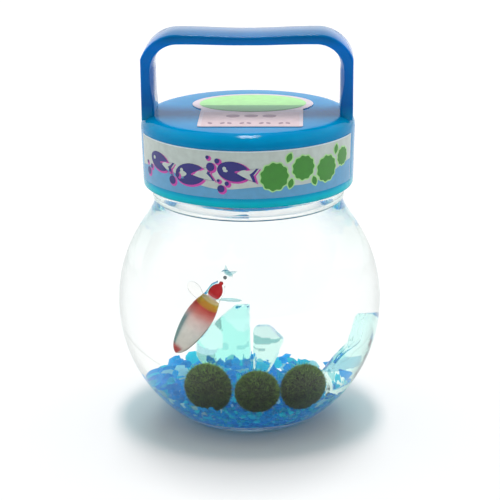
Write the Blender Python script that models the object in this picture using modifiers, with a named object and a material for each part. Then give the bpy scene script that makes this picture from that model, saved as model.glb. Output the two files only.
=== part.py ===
"""A lidded round glass jar of water that keeps three marimo moss balls.

The jar stands on the XY plane with its axis on +Z. The carrying handle of the lid lies
along X, so the front of the label faces -Y. All sizes are in metres.
"""
import math

import bmesh
import bpy
from mathutils import Matrix, Vector

MM = 0.001

# General
GAP = 0.3 * MM              # kept between pieces that touch
PAPER_GAP = 0.15 * MM       # kept under a stuck-on label
PAPER = 0.25 * MM           # thickness of a label
MERGE = 0.01 * MM           # merge distance of the modifiers
JAR_STEPS = 36              # facets round the glass, the water and the gravel
LID_STEPS = 48              # facets round the lid

# Glass jar: a bulb that is an ellipsoid of revolution, cut flat at its foot
BULB_RADIUS = 45.0 * MM
BULB_HALF_HEIGHT = 47.1 * MM
BULB_CENTRE_Z = 40.0 * MM
BULB_FACETS = 8
GLASS_WALL = 2.2 * MM
FOOT_OUTER = 22.0 * MM      # the flat ring that the jar stands on
FOOT_INNER = 16.0 * MM
PUNT_RADIUS = 13.5 * MM     # shallow hollow inside the foot ring
PUNT_HEIGHT = 1.2 * MM
FOOT_ROUND_Z = 3.0 * MM     # height at which the rounded foot joins the bulb
FLOOR_Z = 3.7 * MM
FLOOR_RADIUS = 20.0 * MM
FLOOR_ROUND_Z = 6.0 * MM

# Neck, bead and finish, which is the threaded rim under the lid
WAIST_RADIUS = 31.4 * MM
WAIST_BLEND = 5.0 * MM      # how gently the waist flows into the bulb
BEAD_RADIUS = 32.4 * MM
BEAD_LOW_Z = 76.6 * MM
BEAD_HIGH_Z = 81.4 * MM
BEAD_ROUND = 0.8 * MM
BEAD_LOW_ROUND = 1.8 * MM
FINISH_RADIUS = 30.8 * MM
MOUTH_RADIUS = 28.8 * MM
RIM_Z = 102.1 * MM
RIM_ROUND = 0.8 * MM

# Screw thread, shared by the glass and the lid
PITCH = 4.0 * MM
THREAD_ROOT_WIDTH = 2.2 * MM
THREAD_TIP_WIDTH = 1.0 * MM
THREAD_SINK = 0.5 * MM      # depth of the ridge's root inside its wall
GLASS_THREAD_TIP = 32.3 * MM
GLASS_THREAD_START_Z = 88.0 * MM
GLASS_THREAD_TURNS = 1.5
LID_THREAD_TIP = 31.6 * MM
LID_THREAD_START_Z = 90.0 * MM
LID_THREAD_TURNS = 1.0
THREAD_STEPS = 24           # facets for each turn

# Lid: a cap with a rounded rim, moulded in one with its handle
LID_TOP_Z = 106.1 * MM
LID_PLATE = 2.0 * MM
LID_ROUND = 4.5 * MM
LID_RADIUS = 35.75 * MM
SKIRT_LOW_Z = 82.25 * MM
SKIRT_LOW_RADIUS = 35.25 * MM
SKIRT_INNER = 33.5 * MM
SKIRT_LIP = 0.5 * MM

# Handle: a strap bent into a low arch over the lid
HANDLE_TOP_Z = 133.1 * MM
HANDLE_HALF_SPAN = 35.6 * MM    # from the axis to the legs' outer faces
HANDLE_CORNER = 12.5 * MM       # outer radius of its two bends
HANDLE_SAG = 0.6 * MM
HANDLE_DEPTH = 17.0 * MM
HANDLE_ROUND = 0.9 * MM
BAR_THICKNESS = 3.0 * MM        # at the strap's edges, in the middle of the bar
BAR_END_THICKNESS = 3.3 * MM
LEG_THICKNESS = 3.9 * MM
LEG_SWELL = 1.2 * MM            # the legs' inner faces swell between their edges
FOOT_THICKNESS = 5.1 * MM
FLARE_TOP_Z = 118.5 * MM        # the legs' edges thicken from here down
FLARE_LOW_Z = 107.5 * MM
HANDLE_FOOT_Z = 102.5 * MM      # the feet end inside the lid's rim
BEND_FACETS = 6

# Liner: the sealing disc inside the lid
LINER_LOW_Z = 102.4 * MM
LINER_HIGH_Z = 103.8 * MM
LINER_RADIUS = 32.9 * MM

# Paper label round the skirt, and the sticker on the lid: an oval over a tab towards the front
LABEL_LOW_Z = 85.6 * MM
LABEL_HIGH_Z = 101.2 * MM
LABEL_STEPS = 19                # in facets of the lid
STICKER_X = 1.4 * MM
OVAL_Y = 9.3 * MM
OVAL_HALF_X = 20.4 * MM
OVAL_HALF_Y = 14.6 * MM
OVAL_FACETS = 24
TAB_HALF_X = 17.0 * MM
TAB_FRONT_Y = -23.6 * MM

# Water, parted where the figurine floats in it
WATER_LEVEL_Z = 77.0 * MM
WATER_PARTING_Z = 40.5 * MM

# Gravel bed: its top slopes down to the front right and is lumpy
BED_MID_Z = 14.8 * MM
BED_SLOPE_X = -0.045
BED_SLOPE_Y = 0.075
BED_DISH = 0.6 * MM
BED_DISH_RADIUS = 36.0 * MM
BED_LUMP = 0.45 * MM
BED_LUMP_WAVE = 9.0 * MM
BED_RINGS = 5
BED_LOW_Z = 8.0 * MM            # below this the bed follows the jar's floor
BED_CLEARANCE = 0.7 * MM        # between the lumpy top and the water over it

# Marimo balls: (name, x, y, z, radius)
MARIMOS = (
    ("marimo_left", -11.5 * MM, -20.0 * MM, 19.5 * MM, 7.3 * MM),
    ("marimo_middle", 2.9 * MM, -24.0 * MM, 19.0 * MM, 7.0 * MM),
    ("marimo_right", 15.8 * MM, -17.0 * MM, 18.8 * MM, 7.1 * MM),
)
POCKET_FIT = 0.94               # inscribed radius of a coarse ball, as a share of its radius

# Ice-clear chunks. Each outline is seen from the front, (x, z) in millimetres, and the
# chunk swells from its narrowed front and back faces to the full outline in between.
CHUNKS = {
    "ice_chunk_left": {
        "outline": ((-5.0, 13.0), (-9.6, 15.4), (-12.6, 20.4), (-12.5, 24.0), (-7.0, 30.2),
                    (-3.8, 33.1), (-0.6, 33.1), (-0.4, 13.4)),
        "front_y": 12.5, "middle_y": (16.0, 23.0), "back_y": 27.0, "narrow": 0.78},
    "ice_chunk_right": {
        "outline": ((0.2, 14.4), (0.2, 26.8), (1.7, 28.7), (3.6, 28.1), (7.1, 24.3), (6.0, 20.8), (2.8, 14.4)),
        "front_y": 13.5, "middle_y": (16.0, 22.0), "back_y": 25.0, "narrow": 0.76},
    "ice_chunk_side": {
        "outline": ((18.4, 13.0), (17.9, 20.4), (27.3, 34.4), (28.3, 35.9), (33.4, 35.9), (36.8, 34.4),
                    (38.6, 31.0), (37.2, 24.0), (34.8, 19.0), (29.4, 12.8)),
        "front_y": -3.0, "middle_y": (0.0, 8.0), "back_y": 12.0, "narrow": 0.86},
}
CHUNK_DROP = 0.28               # fall of each chunk's top for each unit of depth
CHUNK_POCKET_SCALE = 1.08

# Sea-angel figurine: a solid glass drop with a head, two horns and two paddle wings
FIGURE_TAIL = Vector((-19.4, -8.0, 27.4)) * MM
FIGURE_HEAD = Vector((-6.1, -8.0, 49.3)) * MM
FIGURE_HEAD_RADIUS = 1.9 * MM
FIGURE_LENGTH = (FIGURE_HEAD - FIGURE_TAIL).length
# Outline of its body: share of the length from the tail, and radius
FIGURE_BODY = ((0.00, 0.60), (0.03, 1.40), (0.10, 2.35), (0.25, 3.35), (0.42, 3.85), (0.56, 3.60),
               (0.66, 2.95), (0.74, 2.35), (0.84, 2.20), (0.92, 1.30), (0.97, 0.60))
FIGURE_STEPS = 14
FIGURE_ROOM_STEPS = 10
HORN_LENGTH = 2.0 * MM
HORN_RADIUS = 0.55 * MM
HORN_LEAN = math.radians(38)
WING_LENGTH = 8.6 * MM
WING_WIDTH = 3.4 * MM
WING_THICKNESS = 1.3 * MM
# Wings: (name, share of the body's length at the root, lean, twist about the wing's own length)
WINGS = (
    ("left_wing", 0.62, math.radians(68), 0.0),
    ("right_wing", 0.70, math.radians(-62), math.radians(80)),
)

PARTS_NAME = "marimo_jar"
CUTTERS_NAME = "cutters"


def clear_scene():
    """Remove every object that the file opened with."""
    for obj in list(bpy.data.objects):
        bpy.data.objects.remove(obj, do_unlink=True)


def new_collection(name):
    collection = bpy.data.collections.new(name)
    bpy.context.scene.collection.children.link(collection)
    return collection


def make_material(name, colour, roughness, alpha=1.0):
    """A Principled material of one colour."""
    material = bpy.data.materials.new(name)
    material.use_nodes = True
    shader = material.node_tree.nodes["Principled BSDF"]
    shader.inputs["Base Color"].default_value = (*colour, 1.0)
    shader.inputs["Roughness"].default_value = roughness
    shader.inputs["Metallic"].default_value = 0.0
    shader.inputs["Alpha"].default_value = alpha
    return material


def add_object(name, mesh, material=None):
    """Link a mesh as a part, or as a hidden cutter when it has no material."""
    obj = bpy.data.objects.new(name, mesh)
    if material is None:
        bpy.data.collections[CUTTERS_NAME].objects.link(obj)
        obj.hide_render = True
        obj.display_type = "WIRE"
    else:
        mesh.materials.append(material)
        bpy.data.collections[PARTS_NAME].objects.link(obj)
    return obj


def mesh_from(name, bm):
    """Turn a bmesh into a mesh with its faces pointing out."""
    bmesh.ops.recalc_face_normals(bm, faces=bm.faces)
    mesh = bpy.data.meshes.new(name)
    bm.to_mesh(mesh)
    bm.free()
    return mesh


def smooth(obj, angle_degrees=35):
    obj.data.shade_smooth()
    obj.data.set_sharp_from_angle(angle=math.radians(angle_degrees))
    return obj


def turned(name, profile, steps, material=None, angle=math.tau, climb=0.0):
    """Turn a list of (radius, z) about the Z axis with a Screw modifier."""
    mesh = bpy.data.meshes.new(name)
    points = [(radius, 0.0, z) for radius, z in profile]
    mesh.from_pydata(points, [(i, i + 1) for i in range(len(points) - 1)], [])
    obj = add_object(name, mesh, material)
    screw = obj.modifiers.new("Turn", "SCREW")
    screw.axis = "Z"
    screw.angle = angle
    screw.screw_offset = climb
    screw.steps = steps
    screw.render_steps = steps
    screw.use_merge_vertices = True
    screw.merge_threshold = MERGE
    screw.use_smooth_shade = True
    return obj


def settle(obj):
    """Replace an object's mesh with its evaluated one, so that its points can be moved."""
    bpy.context.view_layer.update()
    evaluated = obj.evaluated_get(bpy.context.evaluated_depsgraph_get())
    mesh = bpy.data.meshes.new_from_object(evaluated)
    obj.modifiers.clear()
    obj.data = mesh
    return obj


def boolean(obj, other, operation):
    modifier = obj.modifiers.new(operation.title() + " " + other.name, "BOOLEAN")
    modifier.operation = operation
    modifier.object = other
    modifier.solver = "EXACT"
    return obj


def arc(centre_r, centre_z, radius, start_degrees, end_degrees, facets):
    """Points of an arc in the (radius, z) plane, both ends included."""
    points = []
    for i in range(facets + 1):
        angle = math.radians(start_degrees + (end_degrees - start_degrees) * i / facets)
        points.append((centre_r + radius * math.cos(angle), centre_z + radius * math.sin(angle)))
    return points


def bulb_radius(z, inset):
    """Radius of the bulb at height z, measured inset below its outer surface."""
    share = (z - BULB_CENTRE_Z) / (BULB_HALF_HEIGHT - inset)
    return (BULB_RADIUS - inset) * math.sqrt(max(0.0, 1.0 - share * share))


def bulb_height(radius, inset):
    """Height above the bulb's centre at which the inset bulb has this radius."""
    share = radius / (BULB_RADIUS - inset)
    return BULB_CENTRE_Z + (BULB_HALF_HEIGHT - inset) * math.sqrt(1.0 - share * share)


def smooth_max(a, b, width):
    """The greater of two lengths, blended where they are within width of each other."""
    share = min(1.0, max(0.0, 0.5 + 0.5 * (a - b) / width))
    return b + (a - b) * share + width * share * (1.0 - share)


def bulb_arc(low_z, high_z, inset, facets):
    """Points up the inset bulb from low_z to high_z, evenly spaced by angle."""
    half = BULB_HALF_HEIGHT - inset
    low = math.asin((low_z - BULB_CENTRE_Z) / half)
    high = math.asin((high_z - BULB_CENTRE_Z) / half)
    points = []
    for i in range(facets + 1):
        z = BULB_CENTRE_Z + half * math.sin(low + (high - low) * i / facets)
        points.append((bulb_radius(z, inset), z))
    return points


def inner_profile(inset, top_z):
    """Inside of the jar from the axis outwards and up, set in from the glass by inset."""
    wall = GLASS_WALL + inset
    floor = [(0.0, FLOOR_Z + inset), (FLOOR_RADIUS, FLOOR_Z + inset)]
    return floor + bulb_arc(FLOOR_ROUND_Z, top_z, wall, BULB_FACETS)


def thread_ridge(name, root_radius, tip_radius, start_z, turns):
    """A right-handed helical ridge with a trapezium section and closed ends."""
    half_root = THREAD_ROOT_WIDTH / 2
    half_tip = THREAD_TIP_WIDTH / 2
    section = ((root_radius, -half_root), (tip_radius, -half_tip), (tip_radius, half_tip), (root_radius, half_root))
    bm = bmesh.new()
    rings = []
    facets = round(turns * THREAD_STEPS)
    for i in range(facets + 1):
        angle = math.tau * i / THREAD_STEPS
        climb = start_z + PITCH * i / THREAD_STEPS
        rings.append([bm.verts.new((r * math.cos(angle), r * math.sin(angle), climb + z)) for r, z in section])
    bridge_rings(bm, rings)
    return add_object(name, mesh_from(name, bm))


def bridge_rings(bm, rings):
    """Join rings of points into a closed tube, with a face over each end."""
    count = len(rings[0])
    for low, high in zip(rings, rings[1:]):
        for i in range(count):
            j = (i + 1) % count
            bm.faces.new((low[i], low[j], high[j], high[i]))
    bm.faces.new(rings[0])
    bm.faces.new(rings[-1])


def make_glass_jar(material):
    shoulder_z = bulb_height(WAIST_RADIUS, 0.0)
    inner_shoulder_z = bulb_height(MOUTH_RADIUS, GLASS_WALL)
    mouth_round = arc(MOUTH_RADIUS + RIM_ROUND, RIM_Z - RIM_ROUND, RIM_ROUND, 180, 90, 1)
    rim_round = arc(FINISH_RADIUS - RIM_ROUND, RIM_Z - RIM_ROUND, RIM_ROUND, 90, 0, 1)
    bead_top = arc(BEAD_RADIUS - BEAD_ROUND, BEAD_HIGH_Z - BEAD_ROUND, BEAD_ROUND, 90, 0, 1)
    bead_bottom = arc(BEAD_RADIUS - BEAD_LOW_ROUND, BEAD_LOW_Z + BEAD_LOW_ROUND, BEAD_LOW_ROUND, 0, -62, 2)
    waist = [(bulb_radius(z, 0.0), z) for z in (BEAD_LOW_Z, BEAD_LOW_Z - 1.5 * MM)]
    outside = waist + list(reversed(bulb_arc(FOOT_ROUND_Z, shoulder_z, 0.0, BULB_FACETS)))
    profile = inner_profile(0.0, inner_shoulder_z)
    profile += mouth_round + rim_round
    profile += [(FINISH_RADIUS, BEAD_HIGH_Z)] + bead_top + bead_bottom
    profile += [(smooth_max(r, WAIST_RADIUS, WAIST_BLEND) if z > BULB_CENTRE_Z else r, z) for r, z in outside]
    profile += [(FOOT_OUTER + 2.6 * MM, 0.9 * MM), (FOOT_OUTER, 0.0), (FOOT_INNER, 0.0)]
    profile += [(PUNT_RADIUS, PUNT_HEIGHT * 0.7), (0.0, PUNT_HEIGHT)]
    jar = turned("glass_jar", profile, JAR_STEPS, material)
    ridge = thread_ridge("glass_thread", FINISH_RADIUS - THREAD_SINK, GLASS_THREAD_TIP,
                         GLASS_THREAD_START_Z, GLASS_THREAD_TURNS)
    boolean(jar, ridge, "UNION")
    return jar


def skirt_radius(z):
    """Outer radius of the lid's skirt, which narrows slightly downwards."""
    high_z = LID_TOP_Z - LID_ROUND
    share = (z - SKIRT_LOW_Z) / (high_z - SKIRT_LOW_Z)
    return SKIRT_LOW_RADIUS + (LID_RADIUS - SKIRT_LOW_RADIUS) * share


def flare(z):
    """How far the handle's legs have flared at this height, from 0 to 1 near the lid."""
    share = min(1.0, max(0.0, (FLARE_TOP_Z - z) / (FLARE_TOP_Z - FLARE_LOW_Z)))
    return share * share * (3.0 - 2.0 * share)


def handle_stations():
    """Half of the strap, from the foot at +X to the middle: (outer point, inward normal, thickness, swell)."""
    bend_x = HANDLE_HALF_SPAN - HANDLE_CORNER
    bend_z = HANDLE_TOP_Z - HANDLE_CORNER
    stations = []
    for z in (HANDLE_FOOT_Z, FLARE_LOW_Z, 110.3 * MM, 113.0 * MM, 115.8 * MM, FLARE_TOP_Z):
        thickness = LEG_THICKNESS + (FOOT_THICKNESS - LEG_THICKNESS) * flare(z)
        stations.append(((HANDLE_HALF_SPAN, z), (-1.0, 0.0), thickness, LEG_SWELL * (1.0 - flare(z))))
    for i in range(BEND_FACETS + 1):
        share = i / BEND_FACETS
        angle = share * math.pi / 2
        outward = (math.cos(angle), math.sin(angle))
        point = (bend_x + HANDLE_CORNER * outward[0], bend_z + HANDLE_CORNER * outward[1])
        thickness = LEG_THICKNESS + (BAR_END_THICKNESS - LEG_THICKNESS) * share
        stations.append((point, (-outward[0], -outward[1]), thickness, LEG_SWELL * (1.0 - share) ** 1.5))
    for share in (0.33, 0.66, 1.0):
        sag = HANDLE_SAG * math.sin(share * math.pi / 2) ** 2
        thickness = BAR_END_THICKNESS + (BAR_THICKNESS - BAR_END_THICKNESS) * share
        stations.append(((bend_x * (1 - share), HANDLE_TOP_Z - sag), (0.0, -1.0), thickness, 0.0))
    return stations


def strap_section(station):
    """A rectangle across the strap, chamfered, with its inner face swollen between its edges."""
    (x, z), (nx, nz), thickness, swell = station
    half = HANDLE_DEPTH / 2
    corner = HANDLE_ROUND
    across = ((corner, -half), (0.0, corner - half), (0.0, half - corner), (corner, half),
              (thickness - corner, half), (thickness, half - corner), (thickness + swell, 0.55 * half),
              (thickness + swell, -0.55 * half), (thickness, corner - half), (thickness - corner, -half))
    return [(x + nx * inward, y, z + nz * inward) for inward, y in across]


def make_handle():
    """The bent strap, as half a loft and its mirror image."""
    bm = bmesh.new()
    rings = [[bm.verts.new(point) for point in strap_section(station)] for station in handle_stations()]
    for vert in rings[-1]:
        vert.co.x = 0.0
    count = len(rings[0])
    for low, high in zip(rings, rings[1:]):
        for i in range(count):
            j = (i + 1) % count
            bm.faces.new((low[i], low[j], high[j], high[i]))
    bm.faces.new(rings[0])
    handle = add_object("handle_strap", mesh_from("handle_strap", bm))
    mirror = handle.modifiers.new("Mirror", "MIRROR")
    mirror.use_axis = (True, False, False)
    mirror.merge_threshold = MERGE
    rounder = turned("handle_rounder", [(0.0, 140 * MM), (LID_RADIUS, 140 * MM), (LID_RADIUS, 95 * MM),
                                        (0.0, 95 * MM)], LID_STEPS)
    rounder.rotation_euler = (0.0, 0.0, math.pi / LID_STEPS)
    boolean(handle, rounder, "INTERSECT")
    return handle


def make_lid(material):
    """The cap, its handle and its inner thread, as one moulding."""
    under_z = LID_TOP_Z - LID_PLATE
    profile = [(0.0, LID_TOP_Z)]
    profile += arc(LID_RADIUS - LID_ROUND, LID_TOP_Z - LID_ROUND, LID_ROUND, 90, 0, 3)
    profile += [(SKIRT_LOW_RADIUS, SKIRT_LOW_Z + SKIRT_LIP), (SKIRT_LOW_RADIUS - SKIRT_LIP, SKIRT_LOW_Z)]
    profile += [(0.0, SKIRT_LOW_Z)]
    lid = turned("lid", profile, LID_STEPS, material)
    lid.rotation_euler = (0.0, 0.0, math.pi / LID_STEPS)
    boolean(lid, make_handle(), "UNION")
    below_z = SKIRT_LOW_Z - LID_PLATE
    hollow = turned("lid_hollow", [(0.0, under_z), (SKIRT_INNER - SKIRT_LIP, under_z),
                                   (SKIRT_INNER, under_z - SKIRT_LIP), (SKIRT_INNER, below_z),
                                   (0.0, below_z)], LID_STEPS)
    boolean(lid, hollow, "DIFFERENCE")
    ridge = thread_ridge("lid_thread", SKIRT_INNER + THREAD_SINK, LID_THREAD_TIP,
                         LID_THREAD_START_Z, LID_THREAD_TURNS)
    boolean(lid, ridge, "UNION")
    return lid


def make_liner(material):
    profile = [(0.0, LINER_HIGH_Z), (LINER_RADIUS, LINER_HIGH_Z), (LINER_RADIUS, LINER_LOW_Z), (0.0, LINER_LOW_Z)]
    return turned("lid_liner", profile, JAR_STEPS, material)


def make_label(material):
    """A paper band on the front of the skirt, its facets in line with the lid's."""
    offset = PAPER_GAP
    profile = [(skirt_radius(LABEL_HIGH_Z) + offset, LABEL_HIGH_Z), (skirt_radius(LABEL_LOW_Z) + offset, LABEL_LOW_Z)]
    sweep = math.tau * LABEL_STEPS / LID_STEPS
    label = turned("label_band", profile, LABEL_STEPS, material, angle=sweep)
    label.rotation_euler = (0.0, 0.0, -math.pi / 2 - sweep / 2)
    solidify = label.modifiers.new("Paper", "SOLIDIFY")
    solidify.thickness = PAPER
    solidify.offset = 1.0
    return label


def sticker_outline():
    """From the tab's right side round the oval's back, to the tab's left side and its front corners."""
    start = math.acos(TAB_HALF_X / OVAL_HALF_X)
    points = []
    for i in range(OVAL_FACETS + 1):
        angle = -start + (math.pi + 2 * start) * i / OVAL_FACETS
        points.append((OVAL_HALF_X * math.cos(angle), OVAL_Y + OVAL_HALF_Y * math.sin(angle)))
    return points + [(-TAB_HALF_X, TAB_FRONT_Y), (TAB_HALF_X, TAB_FRONT_Y)]


def make_sticker(material):
    curve = bpy.data.curves.new("top_sticker", "CURVE")
    curve.dimensions = "2D"
    curve.fill_mode = "BOTH"
    curve.extrude = PAPER / 2
    outline = sticker_outline()
    spline = curve.splines.new("POLY")
    spline.points.add(len(outline) - 1)
    for point, (x, y) in zip(spline.points, outline):
        point.co = (x, y, 0.0, 1.0)
    spline.use_cyclic_u = True
    sticker = add_object("top_sticker", curve, material)
    sticker.location = (STICKER_X, 0.0, LID_TOP_Z + PAPER_GAP + PAPER / 2)
    return sticker


def bed_height(x, y):
    """Height of the gravel's top: a slope, a dish towards the sides and low lumps."""
    dish = BED_DISH * (x / BED_DISH_RADIUS) ** 2
    wave_x = math.sin(math.tau * x / BED_LUMP_WAVE + 0.8 * math.sin(y / BED_LUMP_WAVE))
    wave_y = math.sin(math.tau * y / (1.3 * BED_LUMP_WAVE) + 1.1)
    return BED_MID_Z + BED_SLOPE_X * x + BED_SLOPE_Y * y + dish + BED_LUMP * wave_x * wave_y


def shape_bed_top(obj, wall_inset, raise_by):
    """Stretch a level bed so that its top follows the height formula, clear of the glass."""
    for vert in obj.data.vertices:
        x, y, z = vert.co
        if z <= BED_LOW_Z:
            continue
        share = (z - BED_LOW_Z) / (BED_MID_Z - BED_LOW_Z)
        new_z = BED_LOW_Z + share * (bed_height(x, y) + raise_by - BED_LOW_Z)
        radius = math.hypot(x, y)
        limit = bulb_radius(new_z, GLASS_WALL + wall_inset)
        spread = limit / bulb_radius(z, GLASS_WALL + wall_inset) if radius > 0.0 else 1.0
        vert.co = (x * spread, y * spread, new_z)
    return obj


def bed_profile(wall_inset, floor_inset):
    """Profile of the level bed: its top from the middle out, then down the wall and in."""
    wall = GLASS_WALL + wall_inset
    edge = bulb_radius(BED_MID_Z, wall)
    top = [(edge * i / BED_RINGS, BED_MID_Z) for i in range(BED_RINGS + 1)]
    side = list(reversed(bulb_arc(FLOOR_ROUND_Z, BED_MID_Z, wall, 3)))[1:]
    floor_z = FLOOR_Z + floor_inset
    return top + side + [(FLOOR_RADIUS, floor_z), (0.0, floor_z)]


def make_gravel(material, pockets):
    bed = turned("gravel_bed", bed_profile(GAP, GAP), JAR_STEPS, material)
    settle(bed)
    shape_bed_top(bed, GAP, 0.0)
    for pocket in pockets:
        boolean(bed, pocket, "DIFFERENCE")
    return bed


def make_bed_cutter():
    """The room that the gravel takes from the water, wider than the jar's inside."""
    cutter = turned("gravel_room", bed_profile(-GAP, -GAP), JAR_STEPS)
    settle(cutter)
    return shape_bed_top(cutter, -GAP, BED_CLEARANCE)


def make_ball(name, centre, radius, subdivisions, material=None):
    bm = bmesh.new()
    bmesh.ops.create_icosphere(bm, subdivisions=subdivisions, radius=radius)
    ball = add_object(name, mesh_from(name, bm), material)
    ball.location = centre
    return ball


def make_marimos(material):
    """The three balls and the coarser pockets that hold them."""
    pockets = []
    for name, x, y, z, radius in MARIMOS:
        smooth(make_ball(name, (x, y, z), radius, 3, material), 60)
        pockets.append(make_ball(name + "_pocket", (x, y, z), (radius + GAP) / POCKET_FIT, 2))
    return pockets


def chunk_mesh(name, form, scale):
    """Convex hull of the outline, full in the middle, narrowed in front and behind, its top falling away."""
    outline = [Vector((x, 0.0, z)) * MM for x, z in form["outline"]]
    middle = sum(outline, Vector()) / len(outline)
    depth_middle = (form["front_y"] + form["back_y"]) / 2 * MM
    low_z = min(point.z for point in outline)
    height = max(point.z for point in outline) - low_z
    layers = [(form["front_y"], form["narrow"]), (form["middle_y"][0], 1.0),
              (form["middle_y"][1], 1.0), (form["back_y"], form["narrow"])]
    bm = bmesh.new()
    for y, narrow in layers:
        squash = 1.0 - CHUNK_DROP * max(0.0, y - form["middle_y"][0]) * MM / height
        for point in outline:
            place = middle + (point - middle) * narrow * scale
            place.z = low_z + (place.z - low_z) * squash
            place.y = depth_middle + (y * MM - depth_middle) * scale
            bm.verts.new(place)
    hull = bmesh.ops.convex_hull(bm, input=bm.verts)
    unused = [item for item in hull["geom_interior"] if isinstance(item, bmesh.types.BMVert)]
    bmesh.ops.delete(bm, geom=unused, context="VERTS")
    return mesh_from(name, bm)


def make_chunks(material):
    pockets = []
    for name, form in CHUNKS.items():
        add_object(name, chunk_mesh(name, form, 1.0), material)
        pockets.append(add_object(name + "_pocket", chunk_mesh(name + "_pocket", form, CHUNK_POCKET_SCALE)))
    return pockets


def figure_matrix():
    """Frame at the tail whose Z axis runs to the head and whose Y axis points away."""
    up = (FIGURE_HEAD - FIGURE_TAIL).normalized()
    back = Vector((0.0, 1.0, 0.0))
    side = back.cross(up).normalized()
    rotation = Matrix((side, back, up)).transposed().to_4x4()
    return Matrix.Translation(FIGURE_TAIL) @ rotation


def wing_mesh(name, share, lean, twist, grow):
    """A flattened paddle that leans out from the body in the XZ plane."""
    bm = bmesh.new()
    half = Vector((WING_WIDTH / 2, WING_THICKNESS / 2, WING_LENGTH / 2))
    half += Vector((grow, grow, grow))
    bmesh.ops.create_icosphere(bm, subdivisions=2, radius=1.0)
    bmesh.ops.scale(bm, vec=half, verts=bm.verts)
    bmesh.ops.translate(bm, vec=(0.0, 0.0, WING_LENGTH / 2), verts=bm.verts)
    turn = Matrix.Rotation(-lean, 3, "Y") @ Matrix.Rotation(twist, 3, "Z")
    bmesh.ops.rotate(bm, cent=(0.0, 0.0, 0.0), matrix=turn, verts=bm.verts)
    bmesh.ops.translate(bm, vec=(0.0, 0.0, share * FIGURE_LENGTH), verts=bm.verts)
    return mesh_from(name, bm)


def horn_mesh(name, side, grow):
    bm = bmesh.new()
    length = HORN_LENGTH + FIGURE_HEAD_RADIUS + grow
    bmesh.ops.create_cone(bm, cap_ends=True, segments=6, radius1=HORN_RADIUS + grow,
                          radius2=(HORN_RADIUS + grow) / 4, depth=length)
    bmesh.ops.translate(bm, vec=(0.0, 0.0, length / 2), verts=bm.verts)
    bmesh.ops.rotate(bm, cent=(0.0, 0.0, 0.0), matrix=Matrix.Rotation(side * HORN_LEAN, 3, "Y"), verts=bm.verts)
    bmesh.ops.translate(bm, vec=(0.0, 0.0, FIGURE_LENGTH), verts=bm.verts)
    return mesh_from(name, bm)


def make_figure(name, grow, steps, material=None):
    """The figurine, or with a positive grow the room that it takes from the water."""
    profile = [(radius * MM + grow, share * FIGURE_LENGTH) for share, radius in reversed(FIGURE_BODY)]
    top = (0.0, profile[0][1] + grow)
    bottom = (0.0, profile[-1][1] - 0.2 * MM - grow)
    body = turned(name, [top] + profile + [bottom], steps, material)
    bm = bmesh.new()
    bmesh.ops.create_icosphere(bm, subdivisions=2, radius=FIGURE_HEAD_RADIUS + 1.4 * grow)
    bmesh.ops.translate(bm, vec=(0.0, 0.0, FIGURE_LENGTH), verts=bm.verts)
    extras = [mesh_from(name + "_head", bm)]
    for wing, share, lean, twist in WINGS:
        extras.append(wing_mesh(name + "_" + wing, share, lean, twist, grow))
    extras.append(horn_mesh(name + "_left_horn", -1, grow))
    extras.append(horn_mesh(name + "_right_horn", 1, grow))
    matrix = figure_matrix()
    body.matrix_world = matrix
    for mesh in extras:
        extra = add_object(mesh.name, mesh)
        extra.matrix_world = matrix
        boolean(body, extra, "UNION")
    return body


def water_profile(low_z, high_z, facets):
    """The jar's inside between two levels, from its top middle out and down."""
    wall = GLASS_WALL + GAP
    shoulder_z = min(high_z, bulb_height(MOUTH_RADIUS - GAP, wall))
    side = list(reversed(bulb_arc(low_z, shoulder_z, wall, facets)))
    if shoulder_z < high_z:
        side.insert(0, (MOUTH_RADIUS - GAP, high_z))
    return [(0.0, high_z)] + side + [(0.0, low_z)]


def make_water(material, bed_room, pockets, figure_room):
    """Two bodies of water that meet at the level where the figurine floats."""
    lower = turned("water_lower", water_profile(BED_LOW_Z, WATER_PARTING_Z - GAP / 2, 5), JAR_STEPS, material)
    for cutter in [bed_room] + pockets + [figure_room]:
        boolean(lower, cutter, "DIFFERENCE")
    upper = turned("water_upper", water_profile(WATER_PARTING_Z + GAP / 2, WATER_LEVEL_Z, 5), JAR_STEPS, material)
    boolean(upper, figure_room, "DIFFERENCE")


def main():
    clear_scene()
    new_collection(PARTS_NAME)
    new_collection(CUTTERS_NAME)
    glass = make_material("clear_glass", (0.93, 0.97, 0.96), 0.03, 0.25)
    plastic = make_material("blue_plastic", (0.0, 0.16, 0.46), 0.22)
    foam = make_material("white_foam", (0.85, 0.86, 0.86), 0.7)
    paper = make_material("label_paper", (0.72, 0.75, 0.72), 0.55)
    sticker_paper = make_material("sticker_paper", (0.90, 0.93, 0.86), 0.5)
    water = make_material("water", (0.86, 0.95, 0.96), 0.02, 0.2)
    gravel = make_material("blue_gravel", (0.0, 0.25, 0.52), 0.15)
    moss = make_material("moss", (0.06, 0.12, 0.03), 0.95)
    ice = make_material("ice_acrylic", (0.62, 0.93, 0.92), 0.05, 0.4)
    figurine = make_material("figurine_glass", (0.86, 0.42, 0.36), 0.06)

    make_glass_jar(glass)
    make_lid(plastic)
    make_liner(foam)
    make_label(paper)
    make_sticker(sticker_paper)
    pockets = make_marimos(moss) + make_chunks(ice)
    make_figure("sea_angel", 0.0, FIGURE_STEPS, figurine)
    figure_room = make_figure("sea_angel_room", GAP, FIGURE_ROOM_STEPS)
    make_gravel(gravel, pockets)
    make_water(water, make_bed_cutter(), pockets, figure_room)


main()
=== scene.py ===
"""Looks of a lidded glass jar of water that keeps three marimo moss balls.

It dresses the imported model: the lengths below are in millimetres, and MM makes them
metres. The jar's axis is +Z, its lid's handle lies along X and its label faces -Y.
"""
import math
import random
from itertools import product, repeat

import bmesh
import bpy
from mathutils import Matrix, Vector, geometry, noise


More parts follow.
